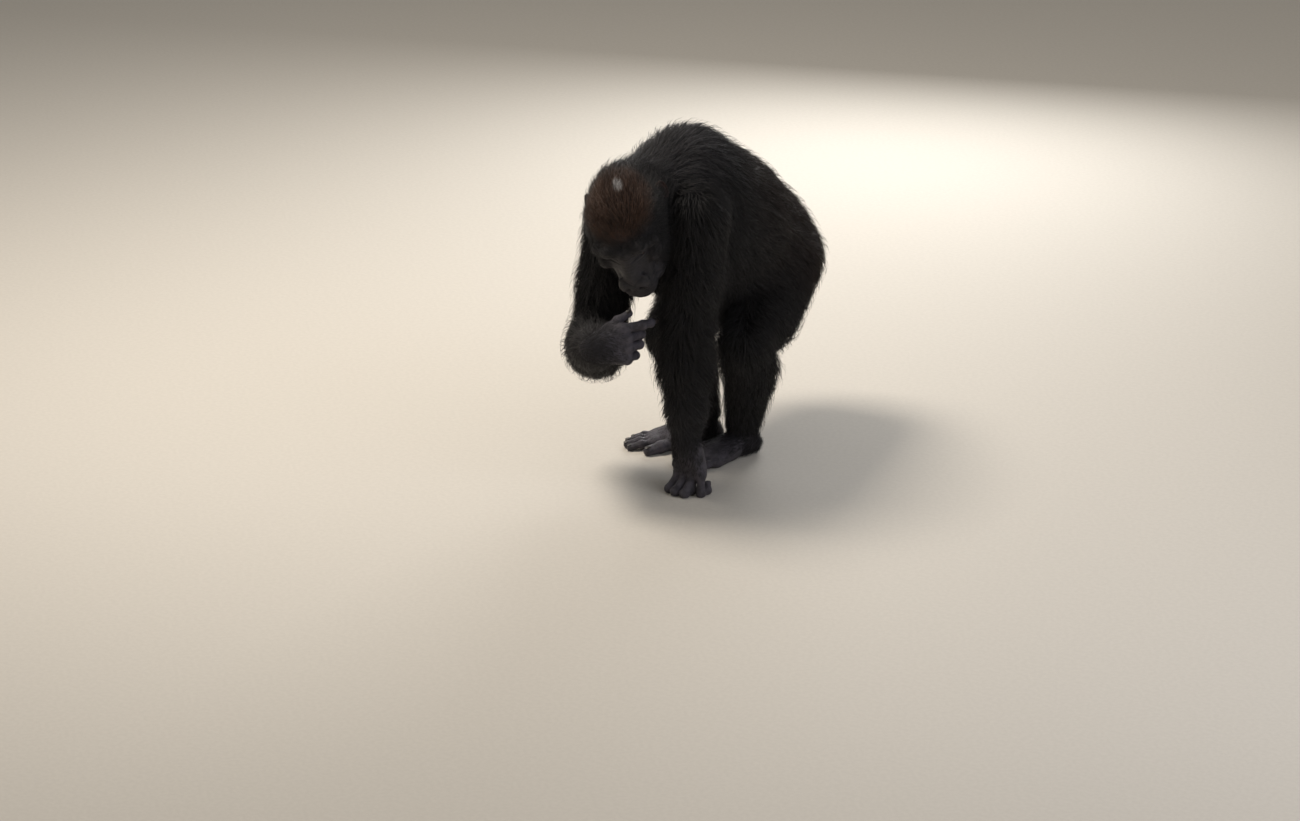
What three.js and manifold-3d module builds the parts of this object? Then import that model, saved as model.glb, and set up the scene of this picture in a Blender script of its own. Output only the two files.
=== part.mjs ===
// A western lowland gorilla at life size, standing with its left hand planted on the
// knuckles, its right hand raised below the chin and its head bowed.
//
// Millimetres, +Z up.  The animal faces -Y and its own left is +X.  While it is built, the
// origin lies on the floor midway between the two feet; the finished group is then moved so
// that the origin is the bottom centre of its box.
//
// The body is one smooth field, the distance to a set of tapered bones and rounded masses
// that melt into each other.  It is meshed as a whole, out to the tips of the coat, and
// parted with thin cuts where the animal's parts meet.

import * as THREE from 'three';
import Module from 'manifold-3d';

const wasm = await Module();
wasm.setup();

const { Vector3, Matrix4 } = THREE;
const V = (x, y, z) => new Vector3(x, y, z);
const degrees = THREE.MathUtils.degToRad;

// ---------------------------------------------------------------- driving dimensions

const HUMERUS = 326;
const FOREARM = 254;
const FEMUR = 300;
const TIBIA = 250;
const GAP = 0.5;              // width of every cut between two parts
const EAR_ROOM = 3;           // between an ear and the shoulder behind it
const HEAD_ROOM = 10;         // between the head and the arms that its coat presses into
const ARM_SOCKET = [56, 104]; // radii of the socket that parts an arm from the trunk
const LEG_SOCKET = [56, 118];
const THINNING = 0.2;         // give of a fresh mesh while it is thinned, in cells
const SEAM_THINNING = 0.2;    // give of a finished part, less than half the gap to the next
const SLIVER = 0.03;          // least height of a triangle over its longest side
const HEAD_SIZE = 1.2;        // head against that of an average grown female

// Depth of the coat over the flesh.
const COAT = {
  back: 26, belly: 20, nape: 30, shoulder: 24, upperArm: 26, elbow: 36, forearm: 30, narrow: 19,
  wrist: 9, thigh: 26, knee: 22, shin: 30, ankle: 18, crown: 24, cheek: 9, bare: 1,
};

// Where the limbs join the trunk and where they end.
const LEFT_SHOULDER = V(158, -194, 700);
const RIGHT_SHOULDER = V(-104, -186, 640);
const LEFT_HIP = V(98, 235, 446);
const RIGHT_HIP = V(-80, 235, 446);
const LEFT_WRIST = V(158, -252, 126);
const RIGHT_WRIST = V(5, -441, 396);

// Way each elbow and knee points out of the line between the ends of its limb.
const LEFT_ELBOW_WAY = V(-0.9, 0.4, 0);
const RIGHT_ELBOW_WAY = V(-0.2, 0.1, -1);
const LEFT_KNEE_WAY = V(0.35, -0.9, 0.3);
const RIGHT_KNEE_WAY = V(0, -0.9, 0.3);

// Head: the middle of the braincase, how far it bows, turns to its left and tilts.
const SKULL = V(38, -328, 696);
const HEAD_BOW = degrees(40);
const HEAD_TURN = degrees(35);
const HEAD_TILT = degrees(18);

// Cell of the mesh of each kind of part: fine on the head and digits, broad on the trunk.
const CELL = { body: 44, head: 20, palm: 18, foot: 22, digit: 14, toe: 15, ear: 9 };

// ---------------------------------------------------------------- field

// Distance to a bone from a to b, of radius ra at a and rb at b.
function bone(a, b, ra, rb) {
  const axis = b.clone().sub(a);
  const length2 = axis.lengthSq();
  return (p) => {
    const x = p.x - a.x;
    const y = p.y - a.y;
    const z = p.z - a.z;
    const along = (x * axis.x + y * axis.y + z * axis.z) / length2;
    const t = Math.min(1, Math.max(0, along));
    return Math.hypot(x - t * axis.x, y - t * axis.y, z - t * axis.z) - ra - t * (rb - ra);
  };
}

// Distance, near enough, to an ellipsoid of the given radii along the axes of a frame.
function mass(centre, radii, axes = [V(1, 0, 0), V(0, 1, 0), V(0, 0, 1)]) {
  return (p) => {
    let near = 0;
    let far = 0;
    for (let i = 0; i < 3; i++) {
      const a = axes[i];
      const q = (p.x - centre.x) * a.x + (p.y - centre.y) * a.y + (p.z - centre.z) * a.z;
      near += (q / radii[i]) ** 2;
      far += (q / radii[i] ** 2) ** 2;
    }
    return Math.sqrt(near) * (Math.sqrt(near) - 1) / Math.sqrt(Math.max(far, 1e-12));
  };
}

// Two fields melted together over the width k.
function melt(a, b, k) {
  const h = Math.max(k - Math.abs(a - b), 0) / k;
  return Math.min(a, b) - h * h * k / 4;
}

const union = (fields, k) => (p) => fields.reduce((d, f) => melt(d, f(p), k), 1e3);

// ---------------------------------------------------------------- mesh of a field

// Corner c of a cell sits at (c & 1, c >> 1 & 1, c >> 2 & 1).
const EDGES = [0, 1, 2].flatMap((axis) => [0, 1, 2, 3, 4, 5, 6, 7]
  .filter((c) => !(c >> axis & 1)).map((c) => [c, c | 1 << axis, axis]));
const FACES = [0, 1, 2].flatMap((axis) => [0, 1].map((side) => {
  const u = 1 << (axis + 1) % 3;
  const v = 1 << (axis + 2) % 3;
  const base = side << axis;
  const ring = [base, base | u, base | u | v, base | v];
  return ring.map((c, i) => {
    const d = ring[(i + 1) % 4];
    const edge = EDGES.findIndex(([a, b]) => a === Math.min(c, d) && b === Math.max(c, d));
    return [edge, c, d];
  });
}));

// Slope of a field at a point.
function slope(field, { x, y, z }) {
  const e = 0.5;
  const q = V();
  return V(
    field(q.set(x + e, y, z)) - field(q.set(x - e, y, z)),
    field(q.set(x, y + e, z)) - field(q.set(x, y - e, z)),
    field(q.set(x, y, z + e)) - field(q.set(x, y, z - e)),
  ).divideScalar(2 * e);
}

// Moves a point onto the surface where the field is 0.
function settle(field, p, reach) {
  for (let round = 0; round < 3; round++) {
    const gradient = slope(field, p);
    const step = field(p) / Math.max(gradient.lengthSq(), 0.2);
    p.addScaledVector(gradient, -Math.min(reach, Math.max(-reach, step)));
  }
  return p;
}

// Closed mesh of the surface of a field inside a box.  The box runs from low to high along
// the axes of a frame through origin, in cubes of about the given cell.  Each cell holds a
// vertex for each sheet of the surface that passes through it, and each crossed edge of the
// grid gives two triangles between the four cells round it.
function surface(field, cell, low, high, axes = [V(1, 0, 0), V(0, 1, 0), V(0, 0, 1)],
  origin = V(0, 0, 0)) {
  const frame = new Matrix4().makeBasis(...axes).setPosition(origin);
  const n = [0, 1, 2].map((i) => Math.ceil((high[i] - low[i]) / cell) + 2);
  const at = (i, j, k) => V(low[0] + i * cell, low[1] + j * cell, low[2] + k * cell)
    .addScalar(-cell / 2).applyMatrix4(frame);
  const index = (i, j, k) => (k * n[1] + j) * n[0] + i;
  const strides = [1, n[0], n[0] * n[1]];
  const values = new Float64Array(n[0] * n[1] * n[2]);
  const points = [];
  for (let k = 0; k < n[2]; k++) {
    for (let j = 0; j < n[1]; j++) {
      for (let i = 0; i < n[0]; i++) {
        const p = at(i, j, k);
        const rim = i * j * k === 0 || i === n[0] - 1 || j === n[1] - 1 || k === n[2] - 1;
        const value = field(p);
        values[index(i, j, k)] = rim ? Math.max(value, cell / 4) : value || 1e-6;
        points.push(p);
      }
    }
  }
  const positions = [];
  const sheetOf = new Int32Array(values.length * 12).fill(-1);
  for (let k = 0; k < n[2] - 1; k++) {
    for (let j = 0; j < n[1] - 1; j++) {
      for (let i = 0; i < n[0] - 1; i++) {
        const cellIndex = index(i, j, k);
        const corner = (c) => cellIndex + (c & 1) + (c >> 1 & 1) * strides[1]
          + (c >> 2 & 1) * strides[2];
        const inside = (c) => values[corner(c)] < 0;
        const group = EDGES.map(([a, b], e) => (inside(a) !== inside(b) ? e : -1));
        const join = (a, b) => group.forEach((g, e) => { if (g === a) group[e] = b; });
        for (const face of FACES) {
          const crossed = face.filter(([edge]) => group[edge] >= 0);
          if (crossed.length === 2) join(group[crossed[0][0]], group[crossed[1][0]]);
          if (crossed.length < 4) continue;
          const first = inside(face[0][1]) ? 0 : 1;
          for (const m of [first, first + 2]) {
            join(group[face[m % 4][0]], group[face[(m + 3) % 4][0]]);
          }
        }
        for (const sheet of new Set(group.filter((g) => g >= 0))) {
          const centre = V(0, 0, 0);
          let count = 0;
          EDGES.forEach(([a, b], e) => {
            if (group[e] !== sheet) return;
            const t = values[corner(a)] / (values[corner(a)] - values[corner(b)]);
            centre.add(points[corner(a)].clone().lerp(points[corner(b)], t));
            sheetOf[cellIndex * 12 + e] = positions.length;
            count++;
          });
          positions.push(centre.divideScalar(count));
        }
      }
    }
  }
  const triangles = [];
  for (let axis = 0; axis < 3; axis++) {
    const u = (axis + 1) % 3;
    const v = (axis + 2) % 3;
    for (let k = 0; k < n[2]; k++) {
      for (let j = 0; j < n[1]; j++) {
        for (let i = 0; i < n[0]; i++) {
          const here = [i, j, k];
          if (here[axis] >= n[axis] - 1) continue;
          const a = index(i, j, k);
          if (values[a] < 0 === values[a + strides[axis]] < 0) continue;
          const ring = [[0, 0], [1, 0], [1, 1], [0, 1]].map(([du, dv]) => {
            const owner = a - du * strides[u] - dv * strides[v];
            const c = du << u | dv << v;
            const edge = EDGES.findIndex((e) => e[0] === c && e[2] === axis);
            return sheetOf[owner * 12 + edge];
          });
          if (values[a] > 0) ring.reverse();
          const [p, q, r, s] = ring;
          const short = positions[p].distanceTo(positions[r])
            <= positions[q].distanceTo(positions[s]);
          triangles.push(...(short ? [p, q, r, p, r, s] : [p, q, s, q, r, s]));
        }
      }
    }
  }
  const points3 = positions.map((p) => settle(field, p, cell / 3));
  if (frame.determinant() < 0) triangles.reverse();
  return thin({ points: points3, triangles }, cell * THINNING);
}

// Thins a closed mesh {points, triangles}.  An edge is drawn together onto one of its ends
// while that end stays within the tolerance of the planes that meet at the other, the two
// ends share just two neighbours, and no triangle turns over.
function thin({ points, triangles }, tolerance) {
  const faces = [];
  for (let i = 0; i < triangles.length; i += 3) faces.push(triangles.slice(i, i + 3));
  const fan = points.map(() => new Set());
  faces.forEach((face, f) => face.forEach((v) => fan[v].add(f)));
  const normalOf = ([a, b, c], moved = -1, to = null) => {
    const [p, q, r] = [a, b, c].map((v) => (v === moved ? to : points[v]));
    return q.clone().sub(p).cross(r.clone().sub(p));
  };
  const planes = points.map((_, v) => [...fan[v]].map((f) => {
    const n = normalOf(faces[f]).normalize();
    return [n, n.dot(points[v])];
  }));
  const ring = (v) => new Set([...fan[v]].flatMap((f) => faces[f]).filter((w) => w !== v));
  const error = (from, to) => Math.max(...planes[from].map(
    ([n, d]) => Math.abs(n.dot(points[to]) - d)));
  const turnsOver = (from, to) => [...fan[from]].some((f) => {
    if (faces[f].includes(to)) return false;
    const before = normalOf(faces[f]);
    const after = normalOf(faces[f], from, points[to]);
    const kept = faces[f].filter((v) => v !== from).concat(to).map((v) => points[v]);
    const longest = Math.max(...kept.map((p, i) => p.distanceTo(kept[(i + 1) % 3])));
    return after.length() < SLIVER * longest ** 2
      || before.dot(after) < 0.3 * before.length() * after.length();
  });
  for (let more = true; more;) {
    more = false;
    const moves = [];
    fan.forEach((own, from) => {
      if (own.size === 0) return;
      for (const to of ring(from)) {
        const e = error(from, to);
        if (e < tolerance) moves.push([e + 1e-3 * points[from].distanceTo(points[to]), from, to]);
      }
    });
    moves.sort((a, b) => a[0] - b[0]);
    const touched = new Set();
    for (const [, from, to] of moves) {
      if (touched.has(from) || touched.has(to)) continue;
      const around = ring(from);
      const shared = [...ring(to)].filter((v) => around.has(v));
      if (shared.length !== 2 || shared.some((v) => fan[v].size < 4)) continue;
      if (turnsOver(from, to)) continue;
      for (const f of [...fan[from]]) {
        if (faces[f].includes(to)) {
          faces[f].forEach((v) => fan[v].delete(f));
          faces[f] = null;
        } else {
          faces[f][faces[f].indexOf(from)] = to;
          fan[to].add(f);
        }
      }
      fan[from].clear();
      planes[to].push(...planes[from]);
      [from, to, ...around].forEach((v) => touched.add(v));
      more = true;
    }
  }
  const kept = new Map();
  const rest = faces.filter(Boolean).flat();
  for (const v of rest) if (!kept.has(v)) kept.set(v, kept.size);
  return { points: [...kept.keys()].map((v) => points[v]), triangles: rest.map((v) => kept.get(v)) };
}

// ---------------------------------------------------------------- solids

// Solid of a mesh, moved as a whole by a step.
function solid({ points, triangles }, step = V(0, 0, 0)) {
  return new wasm.Manifold(new wasm.Mesh({
    numProp: 3,
    vertProperties: Float32Array.from(points.flatMap((p) => p.clone().add(step).toArray())),
    triVerts: Uint32Array.from(triangles),
  }));
}

// Mesh of a solid.
function meshOf(piece) {
  const { vertProperties, triVerts } = piece.getMesh();
  const points = [];
  for (let i = 0; i < vertProperties.length; i += 3) {
    points.push(V(...vertProperties.subarray(i, i + 3)));
  }
  return { points, triangles: [...triVerts] };
}

// A solid from a three.js geometry placed by a matrix, its shared corners merged.
function solidOf(geometry, matrix) {
  const source = geometry.clone().applyMatrix4(matrix);
  const position = source.getAttribute('position');
  const seen = new Map();
  const points = [];
  const corner = Array.from({ length: position.count }, (_, i) => {
    const p = V().fromBufferAttribute(position, i);
    const key = p.toArray().map((x) => Math.round(x * 1e3)).join();
    if (!seen.has(key)) {
      seen.set(key, seen.size);
      points.push(p);
    }
    return seen.get(key);
  });
  const index = source.getIndex() ? Array.from(source.getIndex().array) : [...corner.keys()];
  const triangles = [];
  for (let i = 0; i < index.length; i += 3) {
    const [a, b, c] = [corner[index[i]], corner[index[i + 1]], corner[index[i + 2]]];
    if (a !== b && b !== c && c !== a) triangles.push(a, b, c);
  }
  return solid({ points, triangles });
}

// Frame at a point whose Z axis is the given way; X leans as near as it can to side.
function frameAt(point, way, side = V(0.31, 0.17, 0.93)) {
  const z = way.clone().normalize();
  const y = z.clone().cross(side).normalize();
  const x = y.clone().cross(z);
  return new Matrix4().makeBasis(x, y, z).setPosition(point);
}

// Thin cutters: a round one across a limb and an oblong one for long seams.
const disc = (point, way, radius) => solidOf(
  new THREE.CylinderGeometry(radius, radius, GAP, 16).rotateX(Math.PI / 2),
  frameAt(point, way),
);
const slab = (point, way, side, width, height) => solidOf(
  new THREE.BoxGeometry(width, height, GAP), frameAt(point, way, side));

// Whether a point lies inside a closed mesh: the solid angle the mesh fills round it.
function holds({ points, triangles: t }, point) {
  const corner = (i) => points[i].clone().sub(point);
  let angle = 0;
  for (let i = 0; i < t.length; i += 3) {
    const [a, b, c] = [corner(t[i]), corner(t[i + 1]), corner(t[i + 2])];
    const [la, lb, lc] = [a.length(), b.length(), c.length()];
    const top = a.dot(b.clone().cross(c));
    const bottom = la * lb * lc + a.dot(b) * lc + b.dot(c) * la + c.dot(a) * lb;
    angle += 2 * Math.atan2(top, bottom);
  }
  return Math.abs(angle) > 2 * Math.PI;
}

const thinned = (piece) => solid(thin(meshOf(piece), SEAM_THINNING));

// Parts a solid with cutters, names the pieces by a point that lies in each and thins them.
function part(whole, cutters, seeds) {
  const pieces = cutters.reduce((rest, cutter) => rest.subtract(cutter), whole).decompose();
  const meshes = pieces.map(meshOf);
  const found = {};
  for (const [name, seed] of Object.entries(seeds)) {
    const i = meshes.findIndex((mesh) => holds(mesh, seed));
    if (i < 0) throw new Error(`no piece of its own holds the seed of ${name}`);
    found[name] = thinned(pieces[i]);
    meshes[i] = { points: [], triangles: [] };
  }
  return found;
}

// The largest piece of a solid, without the crumbs that a cut leaves.
const largest = (whole) => whole.decompose().sort((a, b) => b.volume() - a.volume())[0];

// A piece that grows out of another, kept a gap clear of it along the way it grows.
function clearOf(piece, neighbour, way) {
  const step = way.clone().normalize().multiplyScalar(2 * GAP);
  return largest(piece.subtract(neighbour).subtract(solid(meshOf(neighbour), step)));
}

// ---------------------------------------------------------------- joints

// Middle joint of a limb of two bones that runs from a to c, bent the given way.
function bend(a, c, upper, lower, way) {
  const line = c.clone().sub(a);
  const span = Math.min(line.length(), upper + lower - 1);
  line.normalize();
  const along = (upper ** 2 - lower ** 2 + span ** 2) / (2 * span);
  const aside = Math.sqrt(upper ** 2 - along ** 2);
  const out = way.clone().addScaledVector(line, -way.dot(line)).normalize();
  return a.clone().addScaledVector(line, along).addScaledVector(out, aside);
}

const mix = (a, b, t) => a.clone().lerp(b, t);

// Frame of a foot: the middle of its sole on the floor, the way its toes point and the way
// to its inner side.
const LEFT_FOOT = { sole: V(112, -35.3, 0), toes: V(-0.31, -0.95, 0), inner: V(-0.95, 0.31, 0) };
const RIGHT_FOOT = { sole: V(-51.9, -0.2, 0), toes: V(-0.70, -0.714, 0), inner: V(0.714, -0.70, 0) };
const FOOT_STRETCH = 1.16;    // length of the feet against an average foot
const inFoot = (foot, forward, inward, up) => foot.sole.clone()
  .addScaledVector(foot.toes, forward * FOOT_STRETCH)
  .addScaledVector(foot.inner, inward)
  .add(V(0, 0, up));
const ANKLE_HEIGHT = 84;
const LEFT_ANKLE = inFoot(LEFT_FOOT, -72, 0, ANKLE_HEIGHT);
const RIGHT_ANKLE = inFoot(RIGHT_FOOT, -72, 0, ANKLE_HEIGHT);

const LEFT_ELBOW = bend(LEFT_SHOULDER, LEFT_WRIST, HUMERUS, FOREARM, LEFT_ELBOW_WAY);
const RIGHT_ELBOW = bend(RIGHT_SHOULDER, RIGHT_WRIST, HUMERUS, FOREARM, RIGHT_ELBOW_WAY);
const LEFT_KNEE = bend(LEFT_HIP, LEFT_ANKLE, FEMUR, TIBIA, LEFT_KNEE_WAY);
const RIGHT_KNEE = bend(RIGHT_HIP, RIGHT_ANKLE, FEMUR, TIBIA, RIGHT_KNEE_WAY);

// ---------------------------------------------------------------- head frame

// Axes of the head: forward over the muzzle, to its left, and up over the crown.
function headAxes() {
  const forward = V(Math.sin(HEAD_TURN) * Math.cos(HEAD_BOW),
    -Math.cos(HEAD_TURN) * Math.cos(HEAD_BOW), -Math.sin(HEAD_BOW));
  const up = V(Math.sin(HEAD_TURN) * Math.sin(HEAD_BOW),
    -Math.cos(HEAD_TURN) * Math.sin(HEAD_BOW), Math.cos(HEAD_BOW));
  up.applyAxisAngle(forward, HEAD_TILT);
  return [forward, up.clone().cross(forward), up];
}

const HEAD = headAxes();
const [FORWARD, LEFTWARD, UPWARD] = HEAD;

// Point of the head from how far it lies forward, to the left and up from the skull's middle.
const head = (forward, left, up) => SKULL.clone()
  .addScaledVector(FORWARD, forward * HEAD_SIZE)
  .addScaledVector(LEFTWARD, left * HEAD_SIZE)
  .addScaledVector(UPWARD, up * HEAD_SIZE);
const headSize = (flesh, coat) => flesh * HEAD_SIZE + coat;
const headMass = (f, l, u, radii, coat) => mass(
  head(f, l, u), radii.map((r) => headSize(r, coat)), HEAD);
const headBone = (a, b, ra, rb, coat) => bone(
  head(...a), head(...b), headSize(ra, coat), headSize(rb, coat));

// ---------------------------------------------------------------- body field

const HUMP = V(34, -66, 775);
const NAPE = head(-62, 0, 2);
const THROAT = head(10, 0, -62);

const TRUNK = [
  mass(V(10, 262, 484), [152 + COAT.back, 152 + COAT.back, 150 + COAT.back]),
  mass(V(14, 110, 550), [166 + COAT.belly, 190 + COAT.belly, 208 + COAT.back]),
  mass(V(26, -40, 636), [152 + COAT.back, 150 + COAT.back, 200 + COAT.back]),
  bone(HUMP, V(30, 60, 712), 64 + COAT.back, 70 + COAT.back),
  bone(mix(HUMP, LEFT_SHOULDER, 0.2), mix(HUMP, LEFT_SHOULDER, 0.8), 62 + COAT.back, 72),
  bone(mix(HUMP, RIGHT_SHOULDER, 0.2), mix(HUMP, RIGHT_SHOULDER, 0.8), 58 + COAT.back, 70),
  bone(V(28, -150, 620), mix(LEFT_SHOULDER, RIGHT_SHOULDER, 0.32), 80, 66),
  bone(V(28, -150, 620), mix(LEFT_SHOULDER, RIGHT_SHOULDER, 0.68), 80, 66),
];

const NECK = [
  bone(HUMP, NAPE, 66 + COAT.nape, 58 + COAT.nape),
  bone(V(34, -150, 690), THROAT, 78 + COAT.nape, 52 + COAT.cheek),
];

// Upper arm and forearm with the swell of their muscles.
function armField(shoulder, elbow, wrist) {
  const belly = mix(elbow, wrist, 0.28);
  return [
    bone(shoulder, mix(shoulder, elbow, 0.5), 58 + COAT.shoulder, 50 + COAT.upperArm),
    bone(mix(shoulder, elbow, 0.5), elbow, 50 + COAT.upperArm, 43 + COAT.elbow),
    bone(elbow, belly, 43 + COAT.elbow, 46 + COAT.forearm),
    bone(belly, mix(elbow, wrist, 0.7), 46 + COAT.forearm, 36 + COAT.narrow),
    bone(mix(elbow, wrist, 0.7), wrist, 36 + COAT.narrow, 29 + COAT.wrist),
  ];
}

// Thigh with its buttock, knee and calf.
function legField(hip, knee, ankle) {
  const behind = V(0, 66, 4).add(hip);
  const calf = mix(knee, ankle, 0.35).add(V(0, 28, 0));
  return [
    bone(hip, knee, 86 + COAT.thigh, 50 + COAT.knee),
    bone(behind, mix(hip, knee, 0.8).add(V(0, 80, 0)), 82 + COAT.thigh, 60 + COAT.thigh),
    bone(knee, calf, 47 + COAT.knee, 48 + COAT.shin),
    bone(calf, ankle, 48 + COAT.shin, 32 + COAT.ankle),
  ];
}

const LEFT_ARM = armField(LEFT_SHOULDER, LEFT_ELBOW, LEFT_WRIST);
const RIGHT_ARM = armField(RIGHT_SHOULDER, RIGHT_ELBOW, RIGHT_WRIST);
const LEFT_LEG = legField(LEFT_HIP, LEFT_KNEE, LEFT_ANKLE);
const RIGHT_LEG = legField(RIGHT_HIP, RIGHT_KNEE, RIGHT_ANKLE);

// The trunk melts broadly into the limbs and the head.
const trunkField = union([...TRUNK, ...NECK], 60);
const limbFields = [LEFT_ARM, RIGHT_ARM, LEFT_LEG, RIGHT_LEG].map((f) => union(f, 30));
const bodyField = (p) => limbFields.reduce(
  (d, limb) => melt(d, limb(p), 34), melt(skullField(p), trunkField(p), 40));

// ---------------------------------------------------------------- head field

const sides = [-1, 1];
const SKULL_FIELDS = [
  headMass(-6, 0, 24, [90, 63, 67], COAT.crown),
  headMass(-36, 0, 78, [50, 15, 23], COAT.crown),
  headBone([-58, 0, -2], [-20, 0, 10], 56, 60, COAT.crown),
  ...sides.map((s) => headBone([68, 0, 44], [52, s * 40, 44], 15, 15, COAT.cheek)),
  ...sides.map((s) => headMass(4, s * 48, 22, [54, 26, 50], COAT.cheek)),
  ...sides.map((s) => headMass(20, s * 42, -42, [42, 28, 40], COAT.cheek)),
];
const FACE_FIELDS = [
  ...sides.map((s) => headBone([98, 0, 40], [89, s * 33, 43], 11, 12, COAT.bare)),
  ...sides.map((s) => headBone([89, s * 33, 43], [69, s * 60, 28], 12, 11, COAT.bare)),
  ...sides.map((s) => headMass(66, s * 50, -4, [28, 18, 20], COAT.bare)),
  headBone([90, 0, 28], [112, 0, -22], 16, 20, COAT.bare),
  headBone([62, 0, 10], [70, 0, -30], 46, 44, COAT.bare),
  ...sides.map((s) => headMass(122, s * 17, -36, [15, 16, 14], COAT.bare)),
  headMass(96, 0, -56, [42, 38, 30], COAT.bare),
];
const JAW_FIELDS = [
  headMass(86, 0, -88, [38, 34, 24], COAT.bare),
  ...sides.map((s) => headBone([60, s * 26, -86], [8, s * 46, -62], 24, 26, COAT.cheek)),
  headBone([50, 0, -84], [0, 0, -60], 40, 50, COAT.cheek),
];
const faceField = union([...FACE_FIELDS, ...JAW_FIELDS], 12);
const skullField = union(SKULL_FIELDS, 26);
const headField = (p) => melt(melt(faceField(p), skullField(p), 16), trunkField(p), 40);

// ---------------------------------------------------------------- hands

// Frame of a hand: distal runs from the wrist along its back, radial points to the thumb and
// dorsal stands out of the back of the hand.
function handFrame(wrist, distal, radial, side) {
  distal.normalize();
  radial.addScaledVector(distal, -radial.dot(distal)).normalize();
  return { wrist, distal, radial, dorsal: radial.clone().cross(distal).multiplyScalar(side) };
}

const LEFT_HAND = handFrame(LEFT_WRIST, V(0.2, -0.06, -1), V(-1, 0.2, 0), 1);
const RIGHT_HAND = handFrame(RIGHT_WRIST, V(0.78, 0.6, 0.14), V(-0.19, 0.1, 1), -1);

const inHand = (hand, distal, radial, dorsal) => hand.wrist.clone()
  .addScaledVector(hand.distal, distal)
  .addScaledVector(hand.radial, radial)
  .addScaledVector(hand.dorsal, dorsal);

const PALM = 90;              // wrist to the heads of the longest palm bones
const FINGER_PITCH = 25.4;    // from one finger to the next
const PHALANX = [52, 28, 18];
const FINGER_RADII = [12.2, 10];
const FLAT = 1.6;             // how far a rounded underside is pressed flat on the floor
const FINGERS = [
  { name: 'index', row: 1.5, size: 0.98 },
  { name: 'middle', row: 0.5, size: 1.04 },
  { name: 'ring', row: -0.5, size: 1 },
  { name: 'little', row: -1.5, size: 0.88 },
];
const palmReach = (row) => PALM - 3 * row ** 2;

// Turns of the phalanges out of the palm's line, in degrees towards the back of the hand.
// On the planted hand the first phalanx comes down until its knuckle rests on the floor, the
// second lies along the floor and the last curls up behind it towards the palm.
const PLANTED_CURL = [-96, -172];
function plantedTurns({ row, size }) {
  const radius = FINGER_RADII[0] + (FINGER_RADII[1] - FINGER_RADII[0]) / 3;
  const root = inHand(LEFT_HAND, palmReach(row), row * FINGER_PITCH, 0);
  const drop = (root.z - radius * size + FLAT) / (PHALANX[0] * size);
  const { distal, dorsal } = LEFT_HAND;
  const lean = Math.atan2(dorsal.z, distal.z);
  const turn = lean - Math.acos(-drop / Math.hypot(dorsal.z, distal.z));
  return [THREE.MathUtils.radToDeg(turn), ...PLANTED_CURL];
}

// On the raised hand the index points onwards and the other fingers curl into the palm.
const RAISED_TURNS = {
  index: [-14, -40, -66], middle: [-50, -104, -146], ring: [-58, -116, -158],
  little: [-64, -122, -164],
};

function fingerJoints(hand, { row, size }, turns) {
  const joints = [inHand(hand, palmReach(row), row * FINGER_PITCH, 0)];
  turns.forEach((turn, i) => {
    const way = hand.distal.clone().multiplyScalar(Math.cos(degrees(turn)))
      .addScaledVector(hand.dorsal, Math.sin(degrees(turn)));
    joints.push(joints[i].clone().addScaledVector(way, PHALANX[i] * size));
  });
  return joints;
}

// Palm with its four bones, the balls of the thumb and the little finger, and the end of the
// forearm.
const palmField = (hand) => union([
  bone(hand.wrist, inHand(hand, 26, 0, 0), 29 + COAT.wrist, 30),
  ...FINGERS.map(({ row }) => bone(
    inHand(hand, 18, row * 11, 0),
    inHand(hand, palmReach(row) - 3, row * FINGER_PITCH, 0),
    22, 15.5,
  )),
  bone(inHand(hand, 20, 22, -8), inHand(hand, 48, 42, -12), 17, 15),
  bone(inHand(hand, 15, -20, -10), inHand(hand, 70, -29, -13), 18, 14),
], 12);

// Joints of the thumbs in their hands' frames, and the radii of a thumb.
const LEFT_THUMB = [[44, 38, -12], [70, 52, -14], [92, 56, -14]];
const RIGHT_THUMB = [[44, 38, -12], [73, 58, -16], [104, 70, -22]];
const THUMB_RADII = [12.5, 9];

// Solid of a digit through its joints, from radius first to radius last.
function digitSolid(joints, [first, last], cell) {
  const steps = joints.length - 1;
  const radius = (i) => first + (last - first) * i / steps;
  const field = union(joints.slice(1).map(
    (joint, i) => bone(joints[i], joint, radius(i), radius(i + 1))), 5);
  const axes = [V(), V(), V()];
  frameAt(V(0, 0, 0), joints.at(-1).clone().sub(joints[0])).extractBasis(...axes);
  return solid(surface(field, cell, ...boxOf(joints, axes, first + cell), axes));
}

// Box of a chain of points along three axes, with a margin.
function boxOf(points, axes, margin) {
  const low = axes.map((axis) => Math.min(...points.map((p) => p.dot(axis))) - margin);
  const high = axes.map((axis) => Math.max(...points.map((p) => p.dot(axis))) + margin);
  return [low, high];
}

function handSolids(hand, turnsOf, thumbJoints, wristCut) {
  const axes = [hand.radial, hand.dorsal, hand.distal];
  const corners = [inHand(hand, -26, 66, 34), inHand(hand, PALM + 22, -62, -36)];
  const whole = solid(surface(palmField(hand), CELL.palm, ...boxOf(corners, axes, 0), axes));
  const { palm } = part(whole, [wristCut], { palm: inHand(hand, 50, 0, 0) });
  const grow = (joints, radii) => clearOf(
    digitSolid(joints, radii, CELL.digit), palm, joints[1].clone().sub(joints[0]));
  const digits = { thumb: grow(thumbJoints, THUMB_RADII) };
  for (const finger of FINGERS) {
    const radii = FINGER_RADII.map((r) => r * finger.size);
    digits[finger.name] = grow(fingerJoints(hand, finger, turnsOf(finger)), radii);
  }
  return { hand: palm, ...digits };
}

// ---------------------------------------------------------------- feet

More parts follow.
